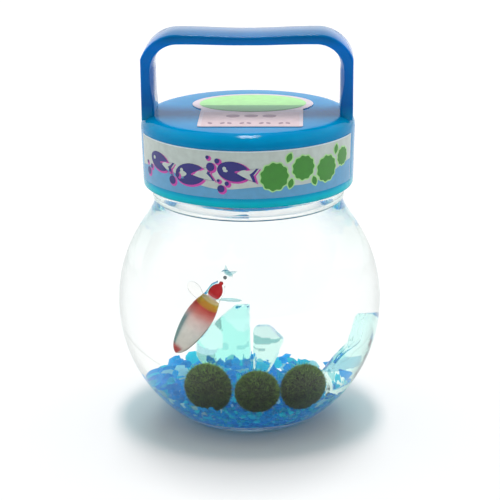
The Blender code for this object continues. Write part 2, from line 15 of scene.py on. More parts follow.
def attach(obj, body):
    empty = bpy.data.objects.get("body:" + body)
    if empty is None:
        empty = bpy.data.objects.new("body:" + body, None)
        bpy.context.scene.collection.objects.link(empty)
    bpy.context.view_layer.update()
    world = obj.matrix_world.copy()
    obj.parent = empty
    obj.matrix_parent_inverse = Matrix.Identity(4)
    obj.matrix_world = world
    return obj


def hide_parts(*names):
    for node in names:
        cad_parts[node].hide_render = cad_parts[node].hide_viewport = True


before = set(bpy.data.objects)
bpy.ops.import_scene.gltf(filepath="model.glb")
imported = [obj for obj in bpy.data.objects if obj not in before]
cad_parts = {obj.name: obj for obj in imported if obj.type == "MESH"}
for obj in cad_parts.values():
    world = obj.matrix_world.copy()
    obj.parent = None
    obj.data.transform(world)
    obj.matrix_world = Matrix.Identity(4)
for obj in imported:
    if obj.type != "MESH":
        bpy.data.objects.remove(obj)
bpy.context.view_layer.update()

MM = 0.001
WHITE = (1, 1, 1)
CLEAR = {"Roughness": 0, "Transmission Weight": 1}

# Facets round the turned pieces
JAR_STEPS = 144
LID_STEPS = 160

# Glass jar
BULB_RADIUS = 44.9
BULB_HALF_HEIGHT = 47
BULB_CENTRE_Z = 40
BULB_TOP_DEGREES = 58
BULB_FACETS = 110
GLASS_WALL = 2.2
FOOT_INNER = 16
PUNT_HEIGHT = 1.2
FLOOR_Z = 3.7
WAIST_RADIUS = 31.4
WAIST_BLEND = 5
BEAD_RADIUS = 32.4
NECK_LOW_Z = 76.5
BEAD_LOW_Z = 76.6
BEAD_HIGH_Z = 81.4
BEAD_ROUND = 1.1
BEAD_LOW_ROUND = 1.8
FINISH_RADIUS = 30.8
MOUTH_RADIUS = 28.8
RIM_Z = 102.1
RIM_ROUND = 0.95
PITCH = 4
THREAD_HALF_WIDTH = 1.1
GLASS_THREAD_RISE = 1.4
GLASS_THREAD = (88, 94)  # the ridge's height where it starts and where it ends
LID_THREAD_RISE = 1.8
LID_THREAD = (90, 94)

# Lid and handle
LID_TOP_Z = 106.1
LID_PLATE = 2
LID_ROUND = 4.5
LID_RADIUS = 35.75
SKIRT_LOW_Z = 82.25
SKIRT_LOW_RADIUS = 35.25
SKIRT_INNER = 33.5
SKIRT_LIP = 0.6
HANDLE_TOP_Z = 133.1
HANDLE_HALF_SPAN = 35.6
HANDLE_CORNER = 12.5
HANDLE_SAG = 0.6
HANDLE_DEPTH = 17
HANDLE_ROUND = 0.8
BAR_THICKNESS = 3
BAR_END_THICKNESS = 3.3
LEG_THICKNESS = 3.9
LEG_SWELL = 1.2
FOOT_THICKNESS = 5.1
FLARE_TOP_Z = 118.5
FLARE_LOW_Z = 107.5
HANDLE_FOOT_Z = 104.7

# Paper
LABEL_LOW_Z = 85.6
LABEL_HIGH_Z = 101.2
LABEL_HALF_ANGLE = math.radians(71.25)
LABEL_EDGE = 0.35
LABEL_COLUMNS = 120
LABEL_ROWS = 6
PAPER = 0.22
PAPER_LIFT = 0.04
INK = 0.03
STICKER_X = 1.4
OVAL_Y = 9.3
OVAL_HALF_X = 20.4
OVAL_HALF_Y = 14.6
TAB_HALF_X = 17
TAB_LOW_Y = -23.6
TAB_CORNER = 1.2

PRINTS = {
    "label_field": (0.55, 0.64, 0.6), "label_border": (0.72, 0.84, 0.88), "label_wave": (0.1, 0.37, 0.64),
    "ink_purple": (0.006, 0.004, 0.2), "ink_magenta": (0.62, 0.04, 0.42),
    "ink_green": (0.03, 0.27, 0.012), "ink_pale_green": (0.42, 0.8, 0.3),
    "sticker_border": (0.74, 0.62, 0.66), "sticker_tab": (0.72, 0.54, 0.56),
    "sticker_pool": (0.38, 0.82, 0.29), "sticker_bank": (0.14, 0.45, 0.18),
    "sticker_marks": (0.3, 0.18, 0.24),
}

# Water
WATER_LEVEL_Z = 77
WATER_INSET = 0.01
WATER_RINGS = 40
MENISCUS_HEIGHT = 0.9
WET_Z = WATER_LEVEL_Z + MENISCUS_HEIGHT
MENISCUS_REACH = 1.4

# Gravel
BED_MID_Z = 14.8
BED_TOP_Z = 20
BED_SLOPE_X = -0.045
BED_SLOPE_Y = 0.075
BED_DISH = 0.6
BED_DISH_RADIUS = 36
BED_LUMP = 0.45
BED_LUMP_WAVE = 9
BED_LEFT_DIP = 3  # the chips lie lower by the left wall
CHIP_FORMS = 28
LATTICE_X = 42  # half widths of the lattice that the chips lie on
LATTICE_Y = 40
CHIP_SPACING = 2
CHIP_ROW = 0.866 * CHIP_SPACING
CHIP_LAYER = 1.75
CHIP_JITTER = 0.7
CHIP_SINK = 0.7  # depth of the uppermost chips under the bed's top

# Marimo balls: (name, x, y, z, radius to the tips of the threads, height over width)
MARIMOS = (
    ("marimo_left", -11.5, -20, 19.5, 7.3, 1.13),
    ("marimo_middle", 2.9, -24, 19, 7, 1.04),
    ("marimo_right", 15.8, -17, 18.8, 7.1, 1.09),
)
MOSS_NAP = 0.9  # length of the threads that stand out
MOSS_THREADS = 15000

# Ice-clear chunks, seen from the front: outline (x, z), where each narrows in depth, the tint of
# the whole, and painted light and shade on single facets of its front, each with an outline of its own
CHUNKS = {
    "ice_chunk_left": {
        "outline": ((-5, 13), (-9.6, 15.4), (-12.6, 20.4), (-12.5, 24), (-7, 30.2),
                    (-3.8, 33.1), (-0.6, 33.1), (-0.4, 13.4)),
        "depths": (12.5, 16, 23, 27), "narrow": 0.78,
        "tint": (0.42, 0.93, 0.84),
        "facets": (
            (((-8, 31), (-3.4, 33.6), (0, 33.6), (0, 26.6), (-3.5, 27.6), (-4.5, 29)), (0.72, 1, 0.98)),
            (((-9.6, 28.4), (-7.4, 30.6), (-6.9, 27.6)), (0.12, 0.3, 0.28)),
            (((-13, 24.6), (-9.2, 28.4), (-7, 27.5), (-6.8, 23.2), (-9.5, 22.6)), (0.9, 1, 0.99)),
            (((-13.2, 23.4), (-10, 23), (-7.2, 23.6), (-9, 21.4), (-13, 21.4)), (0.42, 0.58, 0.72)),
            (((-13, 21.6), (-8.6, 21.6), (-8, 19.6), (-11.5, 19)), (0.14, 0.36, 0.34)),
            (((-3.6, 23.6), (-0.8, 24), (-0.8, 22.9), (-3.4, 22.7)), (0.2, 0.62, 0.6)),
            (((-6.6, 24.6), (-5.4, 24.2), (-5.6, 22.6), (-6.8, 22.8)), (0.22, 0.64, 0.62)),
        )},
    "ice_chunk_right": {
        "outline": ((0.1, 14.4), (0.1, 26.8), (1.7, 28.7), (3.6, 28.1), (7.1, 24.3), (6, 20.8), (2.8, 14.4)),
        "depths": (13.5, 16, 22, 25), "narrow": 0.76,
        "tint": (0.66, 0.93, 0.87),
        "facets": (
            (((0, 28.6), (4, 28.6), (7.6, 24.6), (4, 25.4), (0, 25.9)), (0.62, 0.8, 0.8)),
            (((0, 25.9), (4, 25.4), (7.4, 24.4), (3.6, 23.8), (0, 23.8)), (0.1, 0.34, 0.34)),
            (((0, 22.9), (3, 22.6), (3, 22.2), (0, 22.3)), (0.12, 0.3, 0.3)),
        )},
    "ice_chunk_side": {
        "outline": ((18.4, 13), (17.9, 20.4), (21.4, 24.6), (25.2, 28.2), (27.3, 34.4), (28.3, 35.9),
                    (33.4, 35.9), (36.8, 34.4), (38.6, 31), (37.2, 24), (34.8, 19), (29.4, 12.8)),
        "depths": (-3, 0, 8, 12), "narrow": 0.86,
        "tint": (0.7, 0.98, 0.94),
        "facets": (
            (((18, 24.2), (20.4, 26.4), (24.6, 27.4), (25.4, 24.6), (22, 23)), (0.28, 0.74, 0.7)),
            (((17.6, 24), (22, 24.6), (31, 24), (31, 20.8), (17.8, 20.4)), (0.16, 0.46, 0.6)),
            (((17.8, 20.4), (25, 20.8), (24, 12.6), (19, 12.6)), (0.82, 1, 0.92)),
        )},
}
CHUNK_DROP = 0.28  # fall of each chunk's top for each unit of depth
CHUNK_BREAKS = 9  # corners struck off each
CHUNK_GRAIN = 0.34  # size of the faces of the melted-looking surface
CHUNK_RIPPLE = 0.28

# Sea-angel figurine
FIGURE_TAIL = Vector((-19.4, -8, 27.4))
FIGURE_HEAD = Vector((-6.1, -8, 49.3))
FIGURE_LENGTH = (FIGURE_HEAD - FIGURE_TAIL).length
WING_LENGTH = 8.4
WING_WIDTH = 3.2
WING_THICKNESS = 0.9

# Glass and water
GLASS_IOR = 1.5
WATER_IOR = 1.333
GLASS_EDGE = (0.38, 0.5, 0.43)  # tint of the outer wall where it is seen edge on
SHOULDER_AND_BEAD_TINT = (0.42, 0.6, 0.56)  # and, darker, of the upper shoulder and the bead where they turn away

# Brightness of the surround behind the jar, in front of it, and overhead as a share of these
SURROUND_BEHIND = 1.08
SURROUND_FRONT = 0.28
SURROUND_GAP = 0.8  # share left between the wall and the ceiling
SURROUND_TOP = 0.12
LAMP_SIZE = (0.5, 1.5)
LAMP_PLACE = (0, 0.57, 3.2)
LAMP_POWER = 76

# Camera, fitted to the photograph
CAMERA_TARGET = Vector((0.33, 0, 57.3))
CAMERA_DISTANCE = 600
CAMERA_ELEVATION = math.radians(17.67)
CAMERA_AZIMUTH = math.radians(1.95)
CAMERA_ROLL = math.radians(0.48)
CAMERA_LENS = 126.5
SENSOR_WIDTH = 36


# Meshes

def add_object(name, data):
    obj = bpy.data.objects.new(name, data)
    bpy.context.scene.collection.objects.link(obj)
    return obj


def smooth(mesh, degrees):
    """Smooth shading, but for the edges sharper than this."""
    mesh.shade_smooth()
    mesh.set_sharp_from_angle(angle=math.radians(degrees))


def add_mesh(name, verts, faces, material=None, smooth_degrees=None):
    """A new object from points in millimetres."""
    mesh = bpy.data.meshes.new(name)
    mesh.from_pydata([(x * MM, y * MM, z * MM) for x, y, z in verts], [], faces)
    bm = bmesh.new()
    bm.from_mesh(mesh)
    bmesh.ops.recalc_face_normals(bm, faces=bm.faces)
    bm.to_mesh(mesh)
    bm.free()
    if smooth_degrees:
        smooth(mesh, smooth_degrees)
    if material:
        mesh.materials.append(material)
    return add_object(name, mesh)


def taken_from(bm):
    """The points and faces of a bmesh, which is freed."""
    bm.verts.index_update()
    parts = [vert.co.copy() for vert in bm.verts], [[v.index for v in face.verts] for face in bm.faces]
    bm.free()
    return parts


def between(start, end, share):
    return start + (end - start) * share


def arc(centre_r, centre_z, radius, start_degrees, end_degrees, facets=6, height=None):
    """Points of an arc of a circle, or of an ellipse where its half height is given too."""
    points = []
    for i in range(facets + 1):
        angle = math.radians(between(start_degrees, end_degrees, i / facets))
        points.append((centre_r + radius * math.cos(angle), centre_z + (height or radius) * math.sin(angle)))
    return points


def round_outline(radius, squash=1, count=28):
    return arc(0, 0, radius, 0, 360, count, radius * squash)[:-1]


def lathe(profile, steps):
    """Points and faces of a profile of (radius, z) turned about Z."""
    verts, rings = [], []
    for radius, z in profile:
        start = len(verts)
        if radius < 1e-6:
            rings.append([start] * steps)
            verts.append((0, 0, z))
        else:
            rings.append(range(start, start + steps))
            verts += [(x, y, z) for x, y in round_outline(radius, count=steps)]
    faces = []
    for low, high in zip(rings, rings[1:]):
        for i in range(steps):
            j = (i + 1) % steps
            corners = list(dict.fromkeys((low[i], low[j], high[j], high[i])))
            if len(corners) > 2:
                faces.append(corners)
    return verts, faces


def smooth_max(a, b, width):
    """The greater of two values, rounded where they are within width of each other."""
    share = min(1, max(0, 0.5 + 0.5 * (a - b) / width))
    return between(b, a, share) + width * share * (1 - share)


def smooth_step(low, high, value):
    share = min(1, max(0, (value - low) / (high - low)))
    return share * share * (3 - 2 * share)


def column(radius, start_z, end_z, count):
    """Points straight up or down at one radius, both ends included."""
    return [(radius, between(start_z, end_z, i / count)) for i in range(count + 1)]


def skinned(rings):
    """Points and faces of a closed tube through these rings, with its two ends."""
    count = len(rings[0])
    verts = [point for ring in rings for point in ring]
    faces = [list(range(count)), list(range(len(verts) - count, len(verts)))]
    for start in range(0, len(verts) - count, count):
        for i in range(count):
            near, far = start + i, start + (i + 1) % count
            faces.append((near, far, far + count, near + count))
    return verts, faces


def thread_rise(x, y, z, start_z, end_z):
    """How far a screw thread stands out here, from 0 to 1. It fades in and out at its ends."""
    turned = math.atan2(y, x) / math.tau % 1
    best = 0
    for turn in range(-1, 4):
        middle = start_z + PITCH * (turned + turn)
        if start_z <= middle <= end_z:
            flank = smooth_step(1, 0.35, abs(z - middle) / THREAD_HALF_WIDTH)
            fade = smooth_step(0, 0.6, middle - start_z) * smooth_step(0, 0.6, end_z - middle)
            best = max(best, flank * fade)
    return best


def with_thread(verts, wall_radius, rise, thread):
    """The points, those of one wall moved out by a screw thread, or in where rise is below 0."""
    moved = []
    for x, y, z in verts:
        grow = 1
        if abs(math.hypot(x, y) - wall_radius) < 0.01:
            grow += rise / wall_radius * thread_rise(x, y, z, *thread)
        moved.append((x * grow, y * grow, z))
    return moved


def any_direction(rng):
    return Vector((rng.gauss(0, 1), rng.gauss(0, 1), rng.gauss(0, 1))).normalized()


def apply_modifiers(obj):
    """Replace an object's mesh with its evaluated one."""
    bpy.context.view_layer.update()
    mesh = bpy.data.meshes.new_from_object(obj.evaluated_get(bpy.context.evaluated_depsgraph_get()))
    obj.modifiers.clear()
    obj.data = mesh


def points_of(obj):
    """The points of an object's mesh, in millimetres."""
    return [vert.co / MM for vert in obj.data.vertices]


def paint(obj, name, colours):
    """Give the points of a mesh these colours, in turn."""
    layer = obj.data.color_attributes.new(name, "FLOAT_COLOR", "POINT")
    for spot, colour in zip(layer.data, colours):
        spot.color = (*colour, 1)


def place(obj, body, slot, *nodes):
    """Ride a piece on a body and hide the nodes that it stands for; its slot is not used."""
    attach(obj, body)
    if nodes:
        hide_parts(*nodes)


def place_all(pieces, body, slot, node):
    """Place several pieces, of which the last stands for the node."""
    for piece in pieces[:-1]:
        place(piece, body, slot)
    place(pieces[-1], body, slot, node)


# Materials

def new_material(name):
    """A material and its Principled shader."""
    material = bpy.data.materials.new(name)
    material.use_nodes = True
    return material, material.node_tree.nodes["Principled BSDF"]


def feed(node, inputs):
    """Link or set inputs of a node, by name in a dict or else by place. Colours come without alpha."""
    for key, value in inputs.items() if isinstance(inputs, dict) else enumerate(inputs):
        socket = node.inputs[key]
        if isinstance(value, bpy.types.NodeSocket):
            node.id_data.links.new(value, socket)
        else:
            socket.default_value = (*value, 1) if socket.type == "RGBA" else value


def add(near, kind, inputs=(), output=0, **settings):
    """A new node in the tree that near is in. Returns one of its outputs."""
    node = near.id_data.nodes.new("ShaderNode" + kind)
    for name, value in settings.items():
        setattr(node, name, value)
    feed(node, inputs)
    return node.outputs[output]


def mix(near, factor, a, b, blend="MIX"):
    return add(near, "Mix", {"Factor": factor, "A": a, "B": b}, "Result", data_type="RGBA", blend_type=blend)


def times(first, *others):
    """The product of some outputs."""
    for other in others:
        first = add(first, "Math", (first, other), operation="MULTIPLY")
    return first


def add_noise(near, scale, detail=3, roughness=0.5):
    """Noise in the object's own frame."""
    where = add(near, "TexCoord", (), "Object")
    return add(near, "TexNoise", {"Vector": where, "Scale": scale, "Detail": detail, "Roughness": roughness})


def height_in(near):
    """Height in the object's own frame, in metres."""
    return add(near, "SeparateXYZ", (add(near, "TexCoord", (), "Object"),), "Z")


def add_ramp(source, *stops):
    """A colour ramp on a 0 to 1 value. stops are (position, colour)."""
    ramp = add(source, "ValToRGB", (source,))
    elements = ramp.node.color_ramp.elements
    while len(elements) < len(stops):
        elements.new(0.5)
    for element, (position, colour) in zip(elements, stops):
        element.position = position
        element.color = (*colour, 1)
    return ramp


def add_range(source, low, high, to_low=0, to_high=1):
    """The source, with what lies from low to high brought between two other ends."""
    return add(source, "MapRange", (source, low, high, to_low, to_high))


def add_bump(shader, height, strength, distance):
    bump = add(shader, "Bump", {"Height": height, "Strength": strength, "Distance": distance * MM})
    feed(shader, {"Normal": bump})


def show_mix(share, first, second):
    """Make a mix of two shaders the material's surface."""
    both = add(second, "MixShader", (share, first, second))
    feed(both.id_data.nodes["Material Output"], {"Surface": both})


def let_lamps_through(shader, entering):
    """Rays that look for light pass the surface, because none is found through glass.
    They take the tint where they come from outside, and none where they come from inside."""
    tint = mix(shader, add(shader, "NewGeometry", (), "Backfacing"), entering, WHITE)
    clear = add(shader, "BsdfTransparent", {"Color": tint})
    kinds = [add(shader, "LightPath", (), name) for name in ("Is Shadow Ray", "Is Diffuse Ray")]
    seeking = add(shader, "Math", kinds, operation="MAXIMUM")
    surface = shader.id_data.nodes["Material Output"].inputs["Surface"]
    show_mix(seeking, surface.links[0].from_socket, clear)


def clear_glass(name, ior, entering, edge=None):
    """Soda glass with the faint waviness of a blown wall. The index is that over its other side's.
    With an edge tint, the wall takes it where it is seen edge on, and the upper shoulder and the bead take a
    darker one where they turn away."""
    material, shader = new_material(name)
    glancing = add(shader, "LayerWeight", {"Blend": 0.5}, "Facing")
    clear = (0.985, 1, 0.99)
    last = edge or clear
    tint = add_ramp(glancing, (0.66, clear), (0.86, tuple(0.5 + 0.5 * c for c in last)), (1, last))
    if edge:
        # A darker tint from 24 mm under the bead up to its top, where the wall turns away
        z = height_in(shader)
        share = times(add_range(z, (BEAD_LOW_Z - 24) * MM, BEAD_LOW_Z * MM),
                      add_range(z, BEAD_HIGH_Z * MM, (BEAD_HIGH_Z - 0.6) * MM),
                      add_range(glancing, 0.22, 0.75))
        tint = mix(shader, share, tint, SHOULDER_AND_BEAD_TINT)
    feed(shader, {"Base Color": tint, "IOR": ior, **CLEAR})
    add_bump(shader, add_noise(shader, 45, 1), 0.12, 0.12)
    let_lamps_through(shader, entering)
    return material


def water(name, ior):
    """Water. Its sides touch the glass, whose own index allows for it, so theirs is 1."""
    material, shader = new_material(name)
    feed(shader, {"Base Color": WHITE, "IOR": ior, **CLEAR})
    let_lamps_through(shader, (0.97, 0.99, 1))
    return material


def mottled(colour, scale, detail, roughness, low, high):
    """The colour, darker and lighter in patches."""
    shade = add_range(add_noise(colour, scale, detail, roughness), 0.3, 0.7, low, high)
    return mix(colour, 1, colour, shade, "MULTIPLY")


def blue_plastic():
    """Glossy translucent blue. Its colour by height on this one moulding is painted light: a lighter, greener
    band just above the skirt's thin lower edge is a painted glow of light through it, painted shade darkens
    the handle's legs down to their feet, and it is darker again at the lowest lip and at the top of the bar.
    """
    material, shader = new_material("blue_plastic")
    height = add_range(height_in(shader), SKIRT_LOW_Z * MM, HANDLE_TOP_Z * MM)
    # Painted light by height: the cyan band over the skirt's edge is painted glow, the dark legs painted
    # shade
    ramp = add_ramp(
        height, (0, (0, 0.28, 0.36)), (0.014, (0, 0.5, 0.6)), (0.036, (0, 0.54, 0.7)),
        (0.064, (0, 0.32, 0.6)), (0.36, (0, 0.27, 0.6)), (0.44, (0, 0.31, 0.6)),
        (0.54, (0, 0.15, 0.48)), (0.92, (0, 0.2, 0.68)), (1, (0, 0.15, 0.38)))
    gloss = add_range(add_noise(shader, 700, 6, 0.6), 0.35, 0.75, 0.05, 0.11)
    feed(shader, {"Base Color": mottled(ramp, 90, 4, 0.5, 0.94, 1.06), "Roughness": gloss, "IOR": 1.2,
                  "Subsurface Weight": 0.35, "Subsurface Scale": 2 * MM,
                  "Subsurface Radius": (0.2, 0.7, 1)})
    add_bump(shader, add_noise(shader, 160, 2), 0.08, 0.12)
    return material


def foam_sheet():
    material, shader = new_material("white_foam")
    where = add(shader, "TexCoord", (), "Object")
    cells = add(shader, "TexVoronoi", {"Vector": where, "Scale": 1600}, "Distance")
    ramp = add_ramp(cells, (0, (0.72, 0.73, 0.74)), (0.6, (0.88, 0.88, 0.88)))
    feed(shader, {"Base Color": ramp, "Roughness": 0.75})
    add_bump(shader, cells, 0.4, 0.1)
    return material


def printed(name, colour):
    """Coated paper or ink of one colour, with the slight mottle of print."""
    material, shader = new_material(name)
    mottle = add_noise(shader, 420, 5, 0.6)
    ramp = add_ramp(mottle, (0.35, tuple(0.94 * c for c in colour)), (0.65, tuple(1.06 * c for c in colour)))
    feed(shader, {"Base Color": ramp, "Roughness": 0.42, "Coat Weight": 0.25, "Coat Roughness": 0.2})
    add_bump(shader, add_noise(shader, 2500, 2), 0.15, 0.02)
    return material


def tinted(name, attribute, values, entering=None, glow=None, patches=None):
    """A material in the colours of its mesh's points, mottled where patches are given. This share
    of its surface glows, and it tints the light that enters."""
    material, shader = new_material(name)
    tint = add(shader, "Attribute", (), "Color", attribute_name=attribute)
    if patches:
        tint = mottled(tint, *patches)
    feed(shader, {"Base Color": tint, **values})
    if glow:
        show_mix(glow, shader.outputs[0], add(shader, "BsdfTranslucent", {"Color": tint}))
    if entering:
        let_lamps_through(shader, entering)
    return material


# Glass jar and water

def bulb_section(wall, start_degrees, end_degrees):
    """Points of the bulb's section at this depth in the wall, by angle from the level of its centre."""
    return arc(0, BULB_CENTRE_Z, BULB_RADIUS - wall, start_degrees, end_degrees, BULB_FACETS,
               BULB_HALF_HEIGHT - wall)


def inner_section(inset):
    """Inside of the jar from the middle of its floor up, set in from the glass by inset."""
    points = []
    for radius, z in bulb_section(GLASS_WALL + inset, -90, BULB_TOP_DEGREES):
        if z < BULB_CENTRE_Z:
            z = smooth_max(z, FLOOR_Z + inset, 2.4)
        else:
            radius = smooth_max(radius, MOUTH_RADIUS - inset, 3)
        points.append((max(radius, 0), z))
    points[0] = (0, points[0][1])
    return points


def outer_section():
    """Outside of the bulb, from its waist down to the middle of its underside, which is hollow."""
    points = []
    for radius, z in bulb_section(0, BULB_TOP_DEGREES, -90):
        if z > BULB_CENTRE_Z:
            radius = smooth_max(radius, WAIST_RADIUS, WAIST_BLEND)
        else:
            z = smooth_max(z, PUNT_HEIGHT * smooth_step(FOOT_INNER, FOOT_INNER - 7, radius), 1.1)
        if z < BEAD_LOW_Z - 0.05:
            points.append((max(radius, 0), z))
    points[-1] = (0, points[-1][1])
    return points


def make_glass_jar(outer, dry, wet):
    """The jar, with one material outside, and two inside that part at the water's edge."""
    section = [point for point in inner_section(0) if point[1] < NECK_LOW_Z - 0.5]
    section += column(MOUTH_RADIUS, NECK_LOW_Z, RIM_Z - RIM_ROUND, 14)
    section += arc(MOUTH_RADIUS + RIM_ROUND, RIM_Z - RIM_ROUND, RIM_ROUND, 170, 90)
    inner_faces = (len(section) - 1) * JAR_STEPS
    section += arc(FINISH_RADIUS - RIM_ROUND, RIM_Z - RIM_ROUND, RIM_ROUND, 80, 0)
    section += column(FINISH_RADIUS, RIM_Z - 1.6, BEAD_HIGH_Z + 0.3, 56)
    section += arc(BEAD_RADIUS - BEAD_ROUND, BEAD_HIGH_Z - BEAD_ROUND, BEAD_ROUND, 90, 0)
    section += arc(BEAD_RADIUS - BEAD_LOW_ROUND, BEAD_LOW_Z + BEAD_LOW_ROUND, BEAD_LOW_ROUND, 0, -62)
    verts, faces = lathe(section + outer_section(), JAR_STEPS)
    verts = with_thread(verts, FINISH_RADIUS, GLASS_THREAD_RISE, GLASS_THREAD)
    jar = add_mesh("jar_glass", verts, faces, outer, 40)
    jar.data.materials.append(dry)
    jar.data.materials.append(wet)
    for face in jar.data.polygons[:inner_faces]:
        face.material_index = 2 if face.center.z < WET_Z * MM else 1
    place(jar, "jar", "clear_glass", "glass_jar")


def make_water(surface, side):
    """One body of water with a meniscus. It stands for both halves of the parted water."""
    section = [point for point in inner_section(WATER_INSET) if point[1] < WET_Z]
    edge = section[-1][0]
    side_faces = (len(section) - 1) * JAR_STEPS
    for i in range(1, WATER_RINGS + 1):
        radius = edge * (1 - i / WATER_RINGS) ** 1.6
        section.append((radius, WATER_LEVEL_Z + MENISCUS_HEIGHT * math.exp((radius - edge) / MENISCUS_REACH)))
    body = add_mesh("water_body", *lathe(section, JAR_STEPS), surface, 40)
    body.data.materials.append(side)
    for face in body.data.polygons[:side_faces]:
        face.material_index = 1
    place(body, "jar", "water", "water_lower", "water_upper")


# Lid

def skirt_radius(z):
    share = (z - SKIRT_LOW_Z) / (LID_TOP_Z - LID_ROUND - SKIRT_LOW_Z)
    return between(SKIRT_LOW_RADIUS, LID_RADIUS, share)


def lid_section():
    """The cap's section, from the middle of its top round its rim to the middle of its ceiling."""
    rim_z = LID_TOP_Z - LID_ROUND
    section = [((LID_RADIUS - LID_ROUND) * i / 6, LID_TOP_Z) for i in range(6)]
    section += arc(LID_RADIUS - LID_ROUND, rim_z, LID_ROUND, 90, 0, 12)
    section += [(skirt_radius(z), z) for z in (99, 95, 91, 87, 84)]
    section += arc(SKIRT_LOW_RADIUS - SKIRT_LIP, SKIRT_LOW_Z + SKIRT_LIP, SKIRT_LIP, 0, -90, 4)
    section += arc(SKIRT_INNER + SKIRT_LIP / 2, SKIRT_LOW_Z + SKIRT_LIP / 2, SKIRT_LIP / 2, 270, 180, 4)
    ceiling_z = LID_TOP_Z - LID_PLATE
    section += column(SKIRT_INNER, SKIRT_LOW_Z + 1, ceiling_z - 0.8, 52)
    section += arc(SKIRT_INNER - 0.6, ceiling_z - 0.6, 0.6, 0, 90, 4)
    section += [(20, ceiling_z), (0, ceiling_z)]
    return section


def handle_stations():
    """Half of the strap from its foot to its middle: (outer point, inward normal, thickness, swell)."""
    bend_x, bend_z = HANDLE_HALF_SPAN - HANDLE_CORNER, HANDLE_TOP_Z - HANDLE_CORNER
    leg_facets, bend_facets, bar_facets = 22, 18, 10
    stations = []
    for i in range(leg_facets):
        z = between(HANDLE_FOOT_Z, bend_z, i / leg_facets)
        flare = smooth_step(FLARE_TOP_Z, FLARE_LOW_Z, z)
        stations.append(((HANDLE_HALF_SPAN, z), (-1, 0), between(LEG_THICKNESS, FOOT_THICKNESS, flare),
                         LEG_SWELL * (1 - flare)))
    for i in range(bend_facets + 1):
        share = i / bend_facets
        x, z = math.cos(share * math.pi / 2), math.sin(share * math.pi / 2)
        stations.append(((bend_x + HANDLE_CORNER * x, bend_z + HANDLE_CORNER * z), (-x, -z),
                         between(LEG_THICKNESS, BAR_END_THICKNESS, share), LEG_SWELL * (1 - share) ** 1.5))
    for i in range(1, bar_facets + 1):
        share = i / bar_facets
        top = HANDLE_TOP_Z - HANDLE_SAG * math.sin(share * math.pi / 2) ** 2
        stations.append(((bend_x * (1 - share), top), (0, -1),
                         between(BAR_END_THICKNESS, BAR_THICKNESS, share), 0))
    return stations


def strap_section(station):
    """A rectangle with rounded corners and a swollen inner face, kept inside the lid's outline."""
    (x, z), (nx, nz), thickness, swell = station
    half = HANDLE_DEPTH / 2 - HANDLE_ROUND
    low, high = HANDLE_ROUND, thickness - HANDLE_ROUND
    outline = []
    for inward, y, start in ((low, -half, 270), (low, half, 180), (high, half, 90), (high, -half, 0)):
        if start == 0:
            for k in range(1, 12):
                share = 1 - k / 6
                outline.append((thickness + swell * (1 - share ** 4), half * share))
        outline += arc(inward, y, HANDLE_ROUND, start, start - 90, 4)
    points = []
    for inward, y in outline:
        limit = math.sqrt((LID_RADIUS - 0.05) ** 2 - y * y)
        points.append((min(x + nx * inward, limit), y, z + nz * inward))
    return points


def make_lid(material):
    """The cap and its handle as one moulding."""
    verts, faces = lathe(lid_section(), LID_STEPS)
    lid = add_mesh("lid_moulding", with_thread(verts, SKIRT_INNER, -LID_THREAD_RISE, LID_THREAD), faces)
    half = [strap_section(station) for station in handle_stations()]
    other_half = [[(-x, y, z) for x, y, z in ring] for ring in reversed(half[:-1])]
    handle = add_mesh("lid_handle", *skinned(half + other_half))
    union = lid.modifiers.new("Handle", "BOOLEAN")
    union.operation, union.object, union.solver = "UNION", handle, "EXACT"
    apply_modifiers(lid)
    bpy.data.objects.remove(handle, do_unlink=True)
    lid.data.materials.clear()
    lid.data.materials.append(material)
    smooth(lid.data, 32)
    place(lid, "cap", "blue_plastic", "lid")


# Label and sticker

def on_label(angle, z, lift):
    """The point of the label at this angle from its middle and this height."""
    radius = skirt_radius(z) + PAPER_LIFT + lift
    return radius * math.sin(angle), -radius * math.cos(angle), z


def wrapped(name, half_angle, low, high_of, lift, thickness, material):
    """A thin curved plate on the skirt, from the height low up to high_of(angle)."""
    rings = []
    for i in range(LABEL_COLUMNS + 1):
        angle = between(-half_angle, half_angle, i / LABEL_COLUMNS)
        heights = [between(low, high_of(angle), j / LABEL_ROWS) for j in range(LABEL_ROWS + 1)]
        rings.append([on_label(angle, z, lift) for z in heights]
                     + [on_label(angle, z, lift + thickness) for z in reversed(heights)])
    return add_mesh(name, *skinned(rings), material, 40)


def shifted(outline, x, y):
    return [(px + x, py + y) for px, py in outline]


def leaned(outline, degrees):
    """The outline turned clockwise about the origin."""
    turn = math.radians(degrees)
    return [(x * math.cos(turn) + y * math.sin(turn), y * math.cos(turn) - x * math.sin(turn))
            for x, y in outline]


def middle_of(outline):
    return sum(x for x, _ in outline) / len(outline), sum(y for _, y in outline) / len(outline)


def grown(outline, amount):
    """The outline swollen about its own middle by about this much."""
    middle_x, middle_y = middle_of(outline)
    points = []
    for x, y in shifted(outline, -middle_x, -middle_y):
        scale = 1 + amount / math.hypot(x, y)
        points.append((middle_x + x * scale, middle_y + y * scale))
    return points


def moss_ball_outline(radius):
    """A ring with small bumps all round."""
    bumps = [1 + 0.05 * math.cos(math.tau * i / 6) for i in range(66)]
    return [(x * bump, y * bump) for (x, y), bump in zip(round_outline(radius, count=66), bumps)]


def leaf_outline(length, width, lean):
    """A pointed leaf from the origin, leaning lean degrees from upright."""
    side = [(width / 2 * math.sin(math.pi * i / 18) ** 0.8, length * i / 18) for i in range(19)]
    return leaned(side + [(-x, y) for x, y in side[-2:0:-1]], lean)


def fish_outline(length, height, heading):
    """A plain fish with a notched tail, its nose heading degrees up from the left."""
    a, b = length / 2, height / 2
    tail = [(1.5 * a, -0.75 * b), (1.26 * a, 0), (1.5 * a, 0.75 * b)]
    return leaned(arc(0, 0, a, 30, 330, 22, b) + tail, heading)


def bubble_group(x, z, size):
    return [shifted(round_outline(size * share), x + across * size, z + up * size)
            for share, across, up in ((1, 0, 0), (0.6, 1.6, 1.5), (0.42, -0.7, 2.2))]


